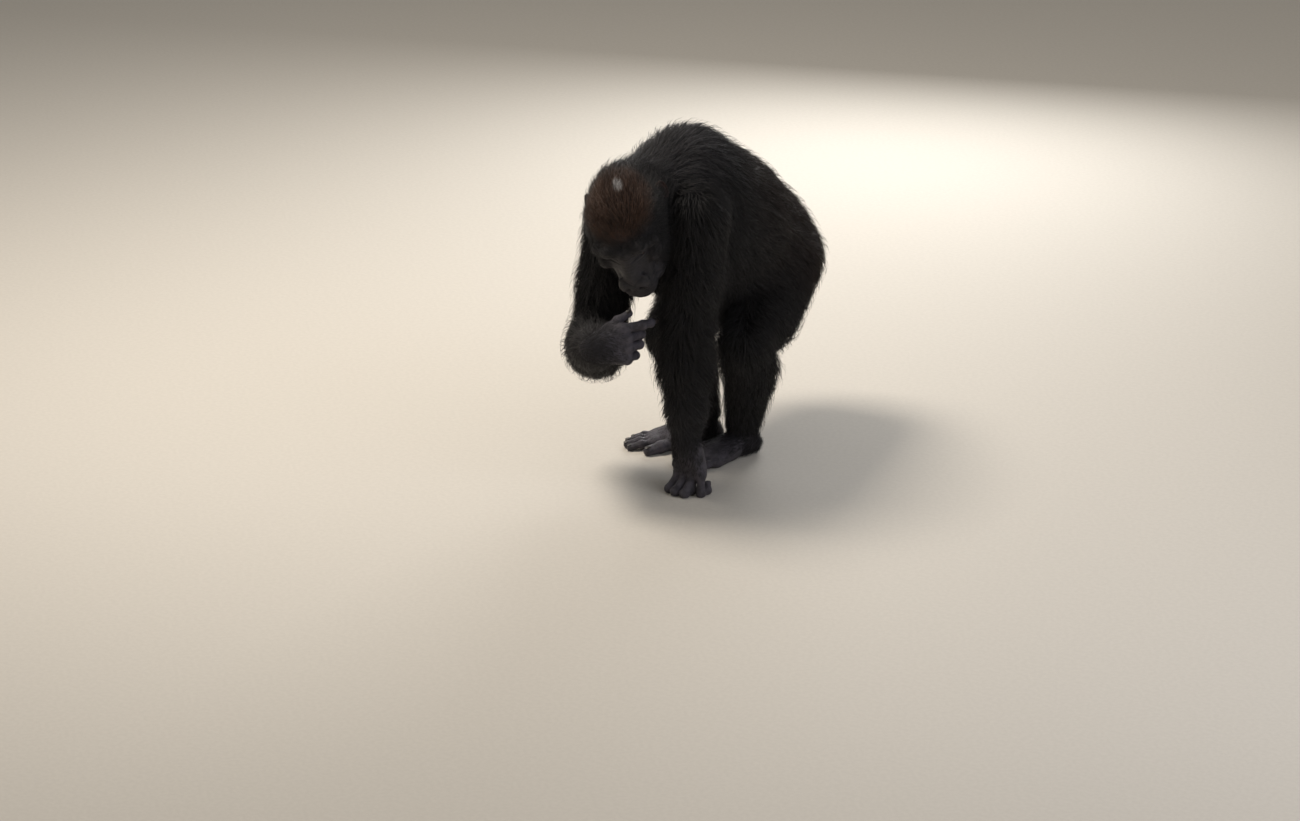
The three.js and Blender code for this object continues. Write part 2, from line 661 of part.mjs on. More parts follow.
const TOE_PITCH = 21;
const TOES = [
  { name: 'second_toe', row: 1, size: 1 },
  { name: 'third_toe', row: 0, size: 1.03 },
  { name: 'fourth_toe', row: -1, size: 0.98 },
  { name: 'fifth_toe', row: -2, size: 0.86 },
];
const TOE_RADII = [10.6, 9];
const BIG_TOE_RADII = [17, 13];
const SOLE_RADIUS = 16;
const toeRoot = ({ row }) => [52 - 3 * (row - 0.3) ** 2, row * TOE_PITCH + 4];

const footField = (foot) => union([
  bone(inFoot(foot, -72, 0, ANKLE_HEIGHT + 30), inFoot(foot, -70, 0, 62),
    36 + COAT.ankle, 34),
  bone(inFoot(foot, -90, 0, 28), inFoot(foot, -64, 0, 33), 29.5, 33),
  bone(inFoot(foot, -64, 0, 33), inFoot(foot, 8, 0, 24), 33, 24),
  ...TOES.map((toe) => {
    const [forward, inward] = toeRoot(toe);
    return bone(inFoot(foot, -24, inward * 0.5, 25), inFoot(foot, forward - 8, inward, 15),
      24, SOLE_RADIUS);
  }),
  bone(inFoot(foot, -44, 12, 27), inFoot(foot, 2, 42, 20), 25, 20),
], 14);

function toeJoints(foot, toe) {
  const [forward, inward] = toeRoot(toe);
  return [
    inFoot(foot, forward - 12, inward, 14),
    inFoot(foot, forward + 22 * toe.size, inward * 1.08, 15),
    inFoot(foot, forward + 50 * toe.size, inward * 1.12, 8),
  ];
}

const bigToeJoints = (foot) => [
  inFoot(foot, 4, 42, 16), inFoot(foot, 36, 60, 16), inFoot(foot, 66, 70, 11),
];

function footSolids(foot, ankleCut) {
  const axes = [foot.inner, foot.toes, V(0, 0, 1)];
  const corners = [inFoot(foot, -130, 72, 112), inFoot(foot, 74, -72, -8)];
  const whole = solid(surface(footField(foot), CELL.foot, ...boxOf(corners, axes, 0), axes));
  const cut = part(whole, [ankleCut], { foot: inFoot(foot, -40, 0, 30) });
  const sole = cut.foot.subtract(FLOOR);
  const grow = (joints, radii) => clearOf(
    digitSolid(joints, radii, CELL.toe), cut.foot, joints[1].clone().sub(joints[0]))
    .subtract(FLOOR);
  const digits = { big_toe: grow(bigToeJoints(foot), BIG_TOE_RADII) };
  for (const toe of TOES) {
    digits[toe.name] = grow(toeJoints(foot, toe), TOE_RADII.map((r) => r * toe.size));
  }
  return { foot: sole, ...digits };
}

// ---------------------------------------------------------------- head parts

const EYE_RADIUS = 11.5;
const LID_OPENING = 8.5;      // radius of the opening in front of each eye
const EYE = (side) => head(84, side * 31, 22);
const gaze = (side) => FORWARD.clone().addScaledVector(LEFTWARD, side * 0.2).normalize();

// Cuts between the cranium, face and jaw: how high the mouth lies and how far forward the
// backs of the jaw and face lie, on an average head, and how wide the cuts are.
const MOUTH = -73;
const JAW_BACK = 14;
const FACE_BACK = 58;
const HEAD_SPAN = 300;

// Ear of one side, grown by a margin.
function earSolid(side, margin) {
  const out = LEFTWARD.clone().multiplyScalar(side);
  const flat = out.clone().multiplyScalar(0.88).addScaledVector(FORWARD, 0.28)
    .addScaledVector(UPWARD, 0.38).normalize();
  const upright = UPWARD.clone().addScaledVector(FORWARD, -0.15);
  const broad = upright.clone().cross(flat).normalize();
  const axes = [broad, flat, flat.clone().cross(broad)];
  const centre = head(-50, side * 77, 24);
  const radii = [20, 7, 25].map((r) => r * HEAD_SIZE + margin);
  const reach = radii.map((r) => r + CELL.ear);
  return solid(surface(mass(centre, radii, axes), CELL.ear,
    reach.map((r) => -r), reach, axes, centre));
}

// Head with its neck, grown by a margin.
function headWhole(margin) {
  const box = boxOf([head(-128, -104, -132), head(158, 104, 122)], HEAD, 0);
  return solid(surface((p) => headField(p) - margin, CELL.head, ...box, HEAD));
}

function headSolids() {
  const whole = headWhole(0);
  const mouthCuts = [
    slab(head(JAW_BACK + 75, 0, MOUTH), UPWARD, FORWARD, 152 * HEAD_SIZE, HEAD_SPAN),
    slab(head(JAW_BACK, 0, MOUTH - 39), FORWARD, UPWARD, 80 * HEAD_SIZE, HEAD_SPAN),
    slab(head(FACE_BACK, 0, MOUTH + 99), FORWARD, UPWARD, 200 * HEAD_SIZE, HEAD_SPAN),
  ];
  const pieces = part(whole, [cuts.neck, ...mouthCuts], {
    cranium: head(0, 0, 20), face: head(84, 0, 0), lower_jaw: head(66, 0, -92),
  });
  const sphere = (side, radius) => solidOf(new THREE.SphereGeometry(radius, 12, 8),
    frameAt(EYE(side), gaze(side)));
  const opening = (side) => solidOf(
    new THREE.CylinderGeometry(LID_OPENING * 1.6, LID_OPENING, 40, 10).rotateX(Math.PI / 2),
    frameAt(EYE(side).addScaledVector(gaze(side), 26), gaze(side)),
  );
  for (const side of sides) {
    const name = side > 0 ? 'left' : 'right';
    pieces.face = pieces.face.subtract(sphere(side, EYE_RADIUS + GAP)).subtract(opening(side));
    pieces[`eye_${name}`] = sphere(side, EYE_RADIUS);
    pieces[`ear_${name}`] = clearOf(
      earSolid(side, 0), pieces.cranium, LEFTWARD.clone().multiplyScalar(side));
  }
  return pieces;
}

// ---------------------------------------------------------------- cuts

const along = (a, b) => b.clone().sub(a).normalize();
const across = (a, b, c) => along(a, b).add(along(b, c));
const FLOOR_SIZE = [2000, 2000, 200];
const FLOOR = solidOf(new THREE.BoxGeometry(...FLOOR_SIZE),
  new Matrix4().makeTranslation(0, 0, -FLOOR_SIZE[2] / 2));

const cuts = {
  neck: slab(head(-52, 0, -30), along(HUMP, head(-20, 0, -30)), UPWARD, 640, 640),
  shoulders: slab(V(28, -190, 650), V(0, -1, -0.3), V(0, 0, 1), 660, 520),
  leftElbow: disc(LEFT_ELBOW, across(LEFT_SHOULDER, LEFT_ELBOW, LEFT_WRIST), 110),
  rightElbow: disc(RIGHT_ELBOW, across(RIGHT_SHOULDER, RIGHT_ELBOW, RIGHT_WRIST), 190),
  leftWrist: disc(LEFT_WRIST, LEFT_HAND.distal, 60),
  rightWrist: disc(RIGHT_WRIST, along(RIGHT_ELBOW, RIGHT_WRIST).add(RIGHT_HAND.distal), 100),
  leftKnee: disc(LEFT_KNEE, across(LEFT_HIP, LEFT_KNEE, LEFT_ANKLE), 170),
  rightKnee: disc(RIGHT_KNEE, across(RIGHT_HIP, RIGHT_KNEE, RIGHT_ANKLE), 170),
  leftAnkle: disc(LEFT_ANKLE, V(0, 0, 1), 66),
  rightAnkle: disc(RIGHT_ANKLE, V(0, 0, 1), 66),
  waist: slab(V(20, 30, 600), V(0, 1, -0.35), V(1, 0, 0), 600, 700),
  loin: slab(V(10, 175, 520), V(0, 1, -0.5), V(1, 0, 0), 600, 700),
};

// ---------------------------------------------------------------- build

// Field of the socket that parts a limb from the trunk.  It starts narrow inside the trunk,
// opens wide where the limb leaves it and holds the rest of the limb loosely.
function socketField([root, middle, end], narrow, wide) {
  const mouth = mix(root, middle, 0.4);
  return union([
    bone(root, mouth, narrow, wide),
    bone(mouth, middle, wide, wide - 14),
    bone(middle, end, wide - 14, wide - 24),
  ], 10);
}

// Takes the part of a solid inside a socket away from the rest, with a gap between the two.
function takeLimb(rest, field, [low, high]) {
  const socket = surface(field, CELL.body, low, high);
  const wider = {
    points: socket.points.map((p) => p.clone().addScaledVector(slope(field, p).normalize(), GAP)),
    triangles: socket.triangles,
  };
  return [largest(rest.intersect(solid(socket))), largest(rest.subtract(solid(wider)))];
}

function bodySolids() {
  const box = [[-340, -560, 70], [340, 480, 960]];
  const whole = solid(surface(bodyField, CELL.body, ...box));
  const arm = (rest, joints) => takeLimb(rest, socketField(joints, ...ARM_SOCKET), box);
  const leg = (rest, joints) => takeLimb(rest, socketField(joints, ...LEG_SOCKET), box);
  const [armLeft, besideArm] = arm(whole, [LEFT_SHOULDER, LEFT_ELBOW, LEFT_WRIST]);
  const [armRight, belowArms] = arm(besideArm, [RIGHT_SHOULDER, RIGHT_ELBOW, RIGHT_WRIST]);
  const [legLeft, besideLeg] = leg(belowArms, [LEFT_HIP, LEFT_KNEE, LEFT_ANKLE]);
  const [legRight, core] = leg(besideLeg, [RIGHT_HIP, RIGHT_KNEE, RIGHT_ANKLE]);
  const trunk = core.subtract(earSolid(1, EAR_ROOM)).subtract(earSolid(-1, EAR_ROOM));
  return {
    ...part(trunk, [cuts.neck, cuts.shoulders, cuts.waist, cuts.loin], {
      shoulders: head(-75, 0, -40),
      chest: V(28, -60, 620),
      belly: V(14, 100, 540),
      pelvis: V(9, 290, 610),
    }),
    ...part(armLeft, [cuts.leftElbow, cuts.leftWrist], {
      upper_arm_left: mix(LEFT_SHOULDER, LEFT_ELBOW, 0.7),
      forearm_left: mix(LEFT_ELBOW, LEFT_WRIST, 0.5),
    }),
    ...part(armRight, [cuts.rightElbow, cuts.rightWrist], {
      upper_arm_right: mix(RIGHT_SHOULDER, RIGHT_ELBOW, 0.6),
      forearm_right: mix(RIGHT_ELBOW, RIGHT_WRIST, 0.5),
    }),
    ...part(legLeft, [cuts.leftKnee, cuts.leftAnkle], {
      thigh_left: mix(LEFT_HIP, LEFT_KNEE, 0.6),
      shin_left: mix(LEFT_KNEE, LEFT_ANKLE, 0.5),
    }),
    ...part(legRight, [cuts.rightKnee, cuts.rightAnkle], {
      thigh_right: mix(RIGHT_HIP, RIGHT_KNEE, 0.6),
      shin_right: mix(RIGHT_KNEE, RIGHT_ANKLE, 0.5),
    }),
  };
}

// ---------------------------------------------------------------- finishes and nodes

const skins = {
  coat: new THREE.MeshStandardMaterial({ color: 0x17161a, roughness: 0.82, metalness: 0 }),
  crown: new THREE.MeshStandardMaterial({ color: 0x4a3122, roughness: 0.82, metalness: 0 }),
  skin: new THREE.MeshStandardMaterial({ color: 0x26242a, roughness: 0.6, metalness: 0 }),
  eye: new THREE.MeshStandardMaterial({ color: 0x2a1408, roughness: 0.12, metalness: 0 }),
};

const animal = new THREE.Group();

function add(name, piece, material) {
  const { points, triangles } = meshOf(piece);
  const geometry = new THREE.BufferGeometry().setFromPoints(points);
  geometry.setIndex(triangles);
  geometry.computeVertexNormals();
  const node = new THREE.Mesh(geometry, material);
  node.name = name;
  animal.add(node);
}

const body = bodySolids();
const headPieces = headSolids();
const { headRoom } = part(headWhole(HEAD_ROOM), [cuts.neck], { headRoom: SKULL });
for (const arm of ['upper_arm_left', 'upper_arm_right']) {
  body[arm] = clearOf(body[arm], headRoom, along(SKULL, HUMP));
}
for (const [name, piece] of Object.entries(body)) add(name, piece, skins.coat);
for (const [name, piece] of Object.entries(headPieces)) {
  const finish = { eye_left: skins.eye, eye_right: skins.eye, cranium: skins.crown }[name];
  add(name, piece, finish ?? skins.skin);
}
const hands = {
  left: handSolids(LEFT_HAND, plantedTurns,
    LEFT_THUMB.map((p) => inHand(LEFT_HAND, ...p)), cuts.leftWrist),
  right: handSolids(RIGHT_HAND, (finger) => RAISED_TURNS[finger.name],
    RIGHT_THUMB.map((p) => inHand(RIGHT_HAND, ...p)), cuts.rightWrist),
};
const feet = {
  left: footSolids(LEFT_FOOT, cuts.leftAnkle),
  right: footSolids(RIGHT_FOOT, cuts.rightAnkle),
};
for (const side of ['left', 'right']) {
  for (const [name, piece] of Object.entries(hands[side])) {
    add(`${name}_${side}`, side === 'left' ? piece.subtract(FLOOR) : piece, skins.skin);
  }
  for (const [name, piece] of Object.entries(feet[side])) add(`${name}_${side}`, piece, skins.skin);
}

// The origin is the bottom centre of the finished box.
const box = new THREE.Box3().setFromObject(animal);
const centre = box.getCenter(V(0, 0, 0));
animal.position.set(-centre.x, -centre.y, -box.min.z);

export default animal;
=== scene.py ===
"""A western lowland gorilla at life size, in skin and coat.

The body is a smooth field: the distance to a set of tapered bones and rounded masses that
melt into each other.  Each row of the field holds the flesh and the depth of the coat over
it, so the same rows give the skin, the room that the coat fills and the lie of its locks.
Lengths are written in millimetres from the floor midway between the feet and turned into
metres in the frame.
"""

import bpy
import numpy as np
from bpy.props import FloatProperty, FloatVectorProperty, IntProperty, PointerProperty
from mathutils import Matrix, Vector


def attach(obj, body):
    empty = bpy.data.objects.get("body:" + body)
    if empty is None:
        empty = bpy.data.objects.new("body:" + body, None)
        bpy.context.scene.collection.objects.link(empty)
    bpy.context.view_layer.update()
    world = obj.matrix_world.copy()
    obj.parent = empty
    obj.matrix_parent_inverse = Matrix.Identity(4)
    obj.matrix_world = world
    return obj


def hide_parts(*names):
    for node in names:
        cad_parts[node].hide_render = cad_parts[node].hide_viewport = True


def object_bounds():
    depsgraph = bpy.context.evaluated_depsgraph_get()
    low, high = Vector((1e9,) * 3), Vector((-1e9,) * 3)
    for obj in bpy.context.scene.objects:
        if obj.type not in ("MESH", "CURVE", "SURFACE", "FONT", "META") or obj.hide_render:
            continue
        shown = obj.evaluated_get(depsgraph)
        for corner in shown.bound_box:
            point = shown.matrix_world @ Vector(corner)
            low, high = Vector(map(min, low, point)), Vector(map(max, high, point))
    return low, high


bl_info = {
    "name": "Gorilla",
    "version": (1, 0, 0),
    "blender": (4, 5, 0),
    "location": "View3D > Sidebar > Gorilla",
    "description": "Skin, eyes, nails and coat of a standing gorilla",
    "category": "Object",
}

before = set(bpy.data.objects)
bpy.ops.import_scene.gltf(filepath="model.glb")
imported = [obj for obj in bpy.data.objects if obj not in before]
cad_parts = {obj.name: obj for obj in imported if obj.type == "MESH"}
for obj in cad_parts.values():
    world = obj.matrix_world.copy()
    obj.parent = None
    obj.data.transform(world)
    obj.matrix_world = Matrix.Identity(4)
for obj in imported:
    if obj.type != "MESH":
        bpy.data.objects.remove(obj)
CAD_BOX = [list(corner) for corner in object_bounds()]

# ---------------------------------------------------------------- places and directions

# Place of the frame's origin in the body's own millimetres.
ORIGIN = np.array([26.313, -19.736, 0.0])
UP = np.array([0.0, 0.0, 1.0])
SIDES = (1, -1)                # left and right


def place(x, y, z):
    """Point in metres from millimetres off the floor midway between the feet."""
    return (np.array([x, y, z], float) - ORIGIN) / 1000


def unit(v):
    """Vector or rows of vectors brought to length 1."""
    v = np.asarray(v, float)
    return v / np.maximum(np.linalg.norm(v, axis=-1, keepdims=True), 1e-12)


def mix(a, b, t):
    """Point a share t of the way from a to b."""
    return a + (b - a) * t


def turned(v, axis, angle):
    """Vector turned about a unit axis: its part along the axis stays, the rest turns."""
    along = axis * (v @ axis)
    return along + (v - along) * np.cos(angle) + np.cross(axis, v) * np.sin(angle)


def bend(a, c, upper, lower, way):
    """Middle joint of a two-bone limb: the corner, on the given side, of the triangle whose
    sides are the two bones and the line from a to c."""
    line = unit(c - a)
    span = min(np.linalg.norm(c - a), upper + lower - 0.001)
    along = (upper ** 2 - lower ** 2 + span ** 2) / (2 * span)
    out = unit(np.asarray(way, float) - line * (np.asarray(way, float) @ line))
    return a + line * along + out * np.sqrt(upper ** 2 - along ** 2)


# Lengths of the limbs' bones, and the head's size against an average head.
HUMERUS = 0.326
FOREARM = 0.254
FEMUR = 0.300
TIBIA = 0.250
HEAD_SIZE = 1.2

LEFT_SHOULDER = place(158, -194, 700)
RIGHT_SHOULDER = place(-104, -186, 640)
LEFT_HIP = place(98, 235, 446)
RIGHT_HIP = place(-80, 235, 446)
LEFT_WRIST = place(158, -252, 126)
RIGHT_WRIST = place(5, -441, 396)

FOOT_STRETCH = 1.16            # length of the feet against average ones


class Foot:
    """Frame of a foot: the middle of its sole, the way its toes point and its inner side."""

    def __init__(self, sole, toes, inner):
        self.sole = place(*sole)
        self.toes = np.array(toes, float)
        self.inner = np.array(inner, float)

    def at(self, forward, inward, up):
        """Point from millimetres along the toes, to the inner side and up."""
        return self.sole + (self.toes * forward * FOOT_STRETCH + self.inner * inward
                            + np.array([0, 0, up])) / 1000


LEFT_FOOT = Foot((112, -35.3, 0), (-0.31, -0.95, 0), (-0.95, 0.31, 0))
RIGHT_FOOT = Foot((-51.9, -0.2, 0), (-0.70, -0.714, 0), (0.714, -0.70, 0))
ANKLE_HEIGHT = 84
LEFT_ANKLE = LEFT_FOOT.at(-72, 0, ANKLE_HEIGHT)
RIGHT_ANKLE = RIGHT_FOOT.at(-72, 0, ANKLE_HEIGHT)

LEFT_ELBOW = bend(LEFT_SHOULDER, LEFT_WRIST, HUMERUS, FOREARM, (-0.9, 0.4, 0))
RIGHT_ELBOW = bend(RIGHT_SHOULDER, RIGHT_WRIST, HUMERUS, FOREARM, (-0.2, 0.1, -1))
LEFT_KNEE = bend(LEFT_HIP, LEFT_ANKLE, FEMUR, TIBIA, (0.35, -0.9, 0.3))
RIGHT_KNEE = bend(RIGHT_HIP, RIGHT_ANKLE, FEMUR, TIBIA, (0, -0.9, 0.3))

SKULL = place(38, -328, 696)
HEAD_BOW, HEAD_TURN, HEAD_TILT = np.radians([40, 35, 18])
FORWARD = np.array([np.sin(HEAD_TURN) * np.cos(HEAD_BOW),
                    -np.cos(HEAD_TURN) * np.cos(HEAD_BOW), -np.sin(HEAD_BOW)])
UPWARD = turned(np.array([np.sin(HEAD_TURN) * np.sin(HEAD_BOW),
                          -np.cos(HEAD_TURN) * np.sin(HEAD_BOW), np.cos(HEAD_BOW)]),
                FORWARD, HEAD_TILT)
LEFTWARD = np.cross(UPWARD, FORWARD)
HEAD_AXES = np.array([FORWARD, LEFTWARD, UPWARD])


def head(forward, left, up):
    """Point of the head from millimetres forward, to its left and up off the skull's middle,
    on a head of average size."""
    return SKULL + (FORWARD * forward + LEFTWARD * left + UPWARD * up) * HEAD_SIZE / 1000


def in_head(points):
    """Millimetres forward, left and up off the skull's middle of an array of points."""
    return (points - SKULL) @ HEAD_AXES.T * 1000 / HEAD_SIZE


# ---------------------------------------------------------------- rows of the field

class Bone:
    """Tapered bone from a to b: flesh radii at its ends and the coat's depth over them."""

    def __init__(self, a, b, ra, rb, ca=0.0, cb=None, lie=(0, 0, -1), scale=1.0):
        self.a = a
        self.axis = b - a
        self.flesh = np.array([ra, rb]) * scale / 1000
        self.coat = np.array([ca, ca if cb is None else cb]) / 1000
        self.lie = np.asarray(lie, float)

    def share(self, points):
        """How far along the bone each point's foot lies, from 0 to 1."""
        return np.clip((points - self.a) @ self.axis / (self.axis @ self.axis), 0, 1)

    def distance(self, points, grown):
        """Distance to the axis less the radius there, which runs straight from end to end."""
        t = self.share(points)
        away = np.linalg.norm(points - self.a - t[:, None] * self.axis, axis=1)
        ra, rb = self.flesh + self.coat * grown
        return away - ra - t * (rb - ra)

    def depth(self, points):
        """Depth of the coat beside each point, along the bone."""
        return self.coat[0] + (self.coat[1] - self.coat[0]) * self.share(points)


class Mass:
    """Ellipsoid with flesh radii along three axes and one depth of coat."""

    def __init__(self, centre, radii, coat=0.0, lie=(0, 0, -1), axes=None, scale=1.0):
        self.centre = centre
        self.radii = np.array(radii, float) * scale / 1000
        self.coat = coat / 1000
        self.axes = np.eye(3) if axes is None else np.asarray(axes, float)
        self.lie = np.asarray(lie, float)

    def distance(self, points, grown):
        """Near distance to an ellipsoid: k (k - 1) / g, where k is the length of the point
        in radii and g the length of the point in squared radii."""
        radii = self.radii + self.coat * grown
        q = (points - self.centre) @ self.axes.T
        near = np.linalg.norm(q / radii, axis=1)
        far = np.linalg.norm(q / radii ** 2, axis=1)
        return near * (near - 1) / np.maximum(far, 1e-6)

    def depth(self, points):
        """Depth of the coat, the same all round."""
        return np.full(len(points), self.coat)


def melt(a, b, k):
    """Smooth minimum: the lesser of two distances less (k - |a - b|)^2 / 4k where they
    differ by less than k."""
    h = np.maximum(k - np.abs(a - b), 0) / k
    return np.minimum(a, b) - h * h * k / 4


def carve(a, b, k):
    """Smooth cut of the field b out of the field a."""
    return -melt(-a, b, k)


def melted(rows, points, grown, k):
    """Distance to several rows melted into each other over the width k."""
    found = rows[0].distance(points, grown)
    for row in rows[1:]:
        found = melt(found, row.distance(points, grown), k)
    return found


def head_mass(f, l, u, radii, coat, lie=None):
    """Mass on the head, with radii along its axes in millimetres of an average head."""
    return Mass(head(f, l, u), radii, coat, HAIRLINE if lie is None else lie, HEAD_AXES,
                HEAD_SIZE)


def head_bone(a, b, ra, rb, coat, lie=None):
    """Bone on the head between two of its points."""
    return Bone(head(*a), head(*b), ra, rb, coat, coat, HAIRLINE if lie is None else lie,
                HEAD_SIZE)


# Widths over which rows melt: within a part, and of a part into its neighbours.
FACE_MELT = 0.012
SKULL_MELT = 0.026
TRUNK_MELT = 0.060
LIMB_MELT = 0.030
BROW_SEAT = 0.016              # face into skull
NECK_SEAT = 0.040              # head into trunk
SKIN_SEAT = 0.030              # limbs into the body's skin
COAT_SEAT = 0.034              # limbs into the body's coat

# Lie of the coat: the way its locks point where they are free to.
BACKWARD_LIE = (0, 0.55, -0.85)
HAIRLINE = -FORWARD + UPWARD * 0.25
CHEEK_LIE = -FORWARD * 0.8 - UPWARD * 0.7

HUMP = place(34, -66, 775)
NAPE = head(-62, 0, 2)
THROAT = head(10, 0, -62)
NAPE_LIE = unit(HUMP - NAPE) + np.array([0, 0.3, -0.3])
THROAT_SEAT = place(34, -150, 690)
CHEST_SEAT = place(28, -150, 620)

TRUNK = [
    Mass(place(10, 262, 484), (152, 152, 150), 26, BACKWARD_LIE),
    Mass(place(14, 110, 550), (166, 190, 208), 23, BACKWARD_LIE),
    Mass(place(26, -40, 636), (152, 150, 200), 26, BACKWARD_LIE),
    Bone(HUMP, place(30, 60, 712), 64, 70, 26, 26, (0, 0.8, -0.5)),
    Bone(mix(HUMP, LEFT_SHOULDER, 0.2), mix(HUMP, LEFT_SHOULDER, 0.8), 62, 50, 26, 22,
         (0.45, 0.3, -0.8)),
    Bone(mix(HUMP, RIGHT_SHOULDER, 0.2), mix(HUMP, RIGHT_SHOULDER, 0.8), 58, 48, 26, 22,
         (-0.45, 0.3, -0.8)),
    Bone(CHEST_SEAT, mix(LEFT_SHOULDER, RIGHT_SHOULDER, 0.32), 66, 50, 14, 16),
    Bone(CHEST_SEAT, mix(LEFT_SHOULDER, RIGHT_SHOULDER, 0.68), 66, 50, 14, 16),
    Bone(HUMP, NAPE, 66, 58, 30, 30, NAPE_LIE),
    Bone(THROAT_SEAT, THROAT, 78, 52, 30, 9, (0, 0.5, -0.8)),
]

SKULL_ROWS = [
    head_mass(-6, 0, 24, (90, 63, 67), 24),
    head_mass(-36, 0, 78, (50, 15, 23), 24),
    head_bone((-58, 0, -2), (-20, 0, 10), 56, 60, 24),
    *[head_bone((68, 0, 44), (52, s * 40, 44), 15, 15, 9) for s in SIDES],
    *[head_mass(4, s * 48, 22, (54, 26, 50), 9, CHEEK_LIE) for s in SIDES],
    *[head_mass(20, s * 42, -42, (42, 28, 40), 9, CHEEK_LIE) for s in SIDES],
]

FACE_ROWS = [
    *[head_bone((98, 0, 40), (89, s * 33, 43), 11, 12, 1) for s in SIDES],
    *[head_bone((89, s * 33, 43), (69, s * 60, 28), 12, 11, 1) for s in SIDES],
    *[head_mass(66, s * 50, -4, (28, 18, 20), 1) for s in SIDES],
    head_bone((90, 0, 28), (112, 0, -22), 15, 19, 1),
    head_bone((62, 0, 10), (70, 0, -30), 46, 44, 1),
    *[head_mass(122, s * 17, -36, (15, 16, 14), 1) for s in SIDES],
    head_mass(96, 0, -56, (42, 38, 30), 1),
    head_mass(86, 0, -88, (38, 34, 24), 1),
    *[head_bone((60, s * 26, -86), (8, s * 46, -62), 24, 26, 9, CHEEK_LIE) for s in SIDES],
    head_bone((50, 0, -84), (0, 0, -60), 40, 50, 9, CHEEK_LIE),
]


def arm_rows(shoulder, elbow, wrist, upper_lie, lower_lie):
    """Upper arm and forearm with the swell of their muscles."""
    middle = mix(shoulder, elbow, 0.5)
    belly = mix(elbow, wrist, 0.28)
    narrow = mix(elbow, wrist, 0.7)
    return [
        Bone(shoulder, middle, 58, 50, 24, 26, upper_lie),
        Bone(middle, elbow, 50, 43, 26, 36, upper_lie),
        Bone(elbow, belly, 43, 46, 36, 30, lower_lie),
        Bone(belly, narrow, 46, 36, 30, 19, lower_lie),
        Bone(narrow, wrist, 36, 29, 19, 9, lower_lie),
    ]


def leg_rows(hip, knee, ankle):
    """Thigh with its buttock, knee and calf."""
    behind = hip + np.array([0, 0.066, 0.004])
    calf = mix(knee, ankle, 0.35) + np.array([0, 0.028, 0])
    hamstring = mix(hip, knee, 0.8) + np.array([0, 0.080, 0])
    return [
        Bone(hip, knee, 86, 50, 26, 22, (0, 0.35, -1)),
        Bone(behind, hamstring, 82, 60, 26, 26, (0, 0.45, -1)),
        Bone(knee, calf, 47, 48, 22, 30, (0, 0.3, -1)),
        Bone(calf, ankle, 48, 32, 30, 18, (0, 0.15, -1)),
    ]


LEFT_ARM = arm_rows(LEFT_SHOULDER, LEFT_ELBOW, LEFT_WRIST, (0.1, 0.3, -1), (0.15, 0.6, -0.6))
RIGHT_ARM = arm_rows(RIGHT_SHOULDER, RIGHT_ELBOW, RIGHT_WRIST, (-0.1, 0.1, -1),
                     unit(RIGHT_ELBOW - RIGHT_WRIST) + np.array([0, 0, -0.7]))
LEFT_LEG = leg_rows(LEFT_HIP, LEFT_KNEE, LEFT_ANKLE)
RIGHT_LEG = leg_rows(RIGHT_HIP, RIGHT_KNEE, RIGHT_ANKLE)
LIMBS = (LEFT_ARM, RIGHT_ARM, LEFT_LEG, RIGHT_LEG)

# The head's skin ends at a round limit inside the neck and the body's skin begins at a
# smaller one inside the head, so that the two overlap.
HEAD_MIDDLE = head(22, 0, -12)
HEAD_REACH = 0.150
HEAD_LAP = 0.022
BODY_LAP = 0.010
FACE_ROUND = 0.12              # distance off the skull within which the face is worked out


def whole_head(points, grown):
    """Face, skull and the trunk below them, melted."""
    found = melt(melted(FACE_ROWS, points, grown, FACE_MELT),
                 melted(SKULL_ROWS, points, grown, SKULL_MELT), BROW_SEAT)
    return melt(found, melted(TRUNK, points, grown, TRUNK_MELT), NECK_SEAT)


def coat_room(points):
    """Distance to the outside of the coat: the lesser of the body's and the head's, which
    share the skull and the trunk."""
    skull = melted(SKULL_ROWS, points, 1, SKULL_MELT)
    trunk = melted(TRUNK, points, 1, TRUNK_MELT)
    found = melt(skull, trunk, NECK_SEAT)
    for limb in LIMBS:
        found = melt(found, melted(limb, points, 1, LIMB_MELT), COAT_SEAT)
    near = skull < FACE_ROUND
    face = melted(FACE_ROWS, points[near], 1, FACE_MELT)
    face = melt(melt(face, skull[near], BROW_SEAT), trunk[near], NECK_SEAT)
    found[near] = np.minimum(found[near], face)
    return found


# ---------------------------------------------------------------- face in detail

EYE_RADIUS = 0.0115
LID = 0.0023                   # thickness of a lid


def eye_place(side):
    """Middle of an eyeball."""
    return head(84, side * 31, 22)


def gaze(side):
    """The way an eye looks: forward, a little outward and down to the hand."""
    return unit(FORWARD + LEFTWARD * side * 0.16 - UPWARD * 0.12)


def bump(x, width):
    """Bell curve of height 1: e to the power of minus x squared over width squared."""
    return np.exp(-(x / width) ** 2)


def step(x, low, high):
    """Smooth step from 0 at low to 1 at high: 3t^2 - 2t^3."""
    t = np.clip((x - low) / (high - low), 0, 1)
    return t * t * (3 - 2 * t)


def eye_frame(side):
    """Axes of an eye: outward gaze, to the outer corner and up."""
    look = gaze(side)
    outer = unit(LEFTWARD * side - look * (LEFTWARD * side @ look))
    return np.array([look, outer, np.cross(look, outer) * side])


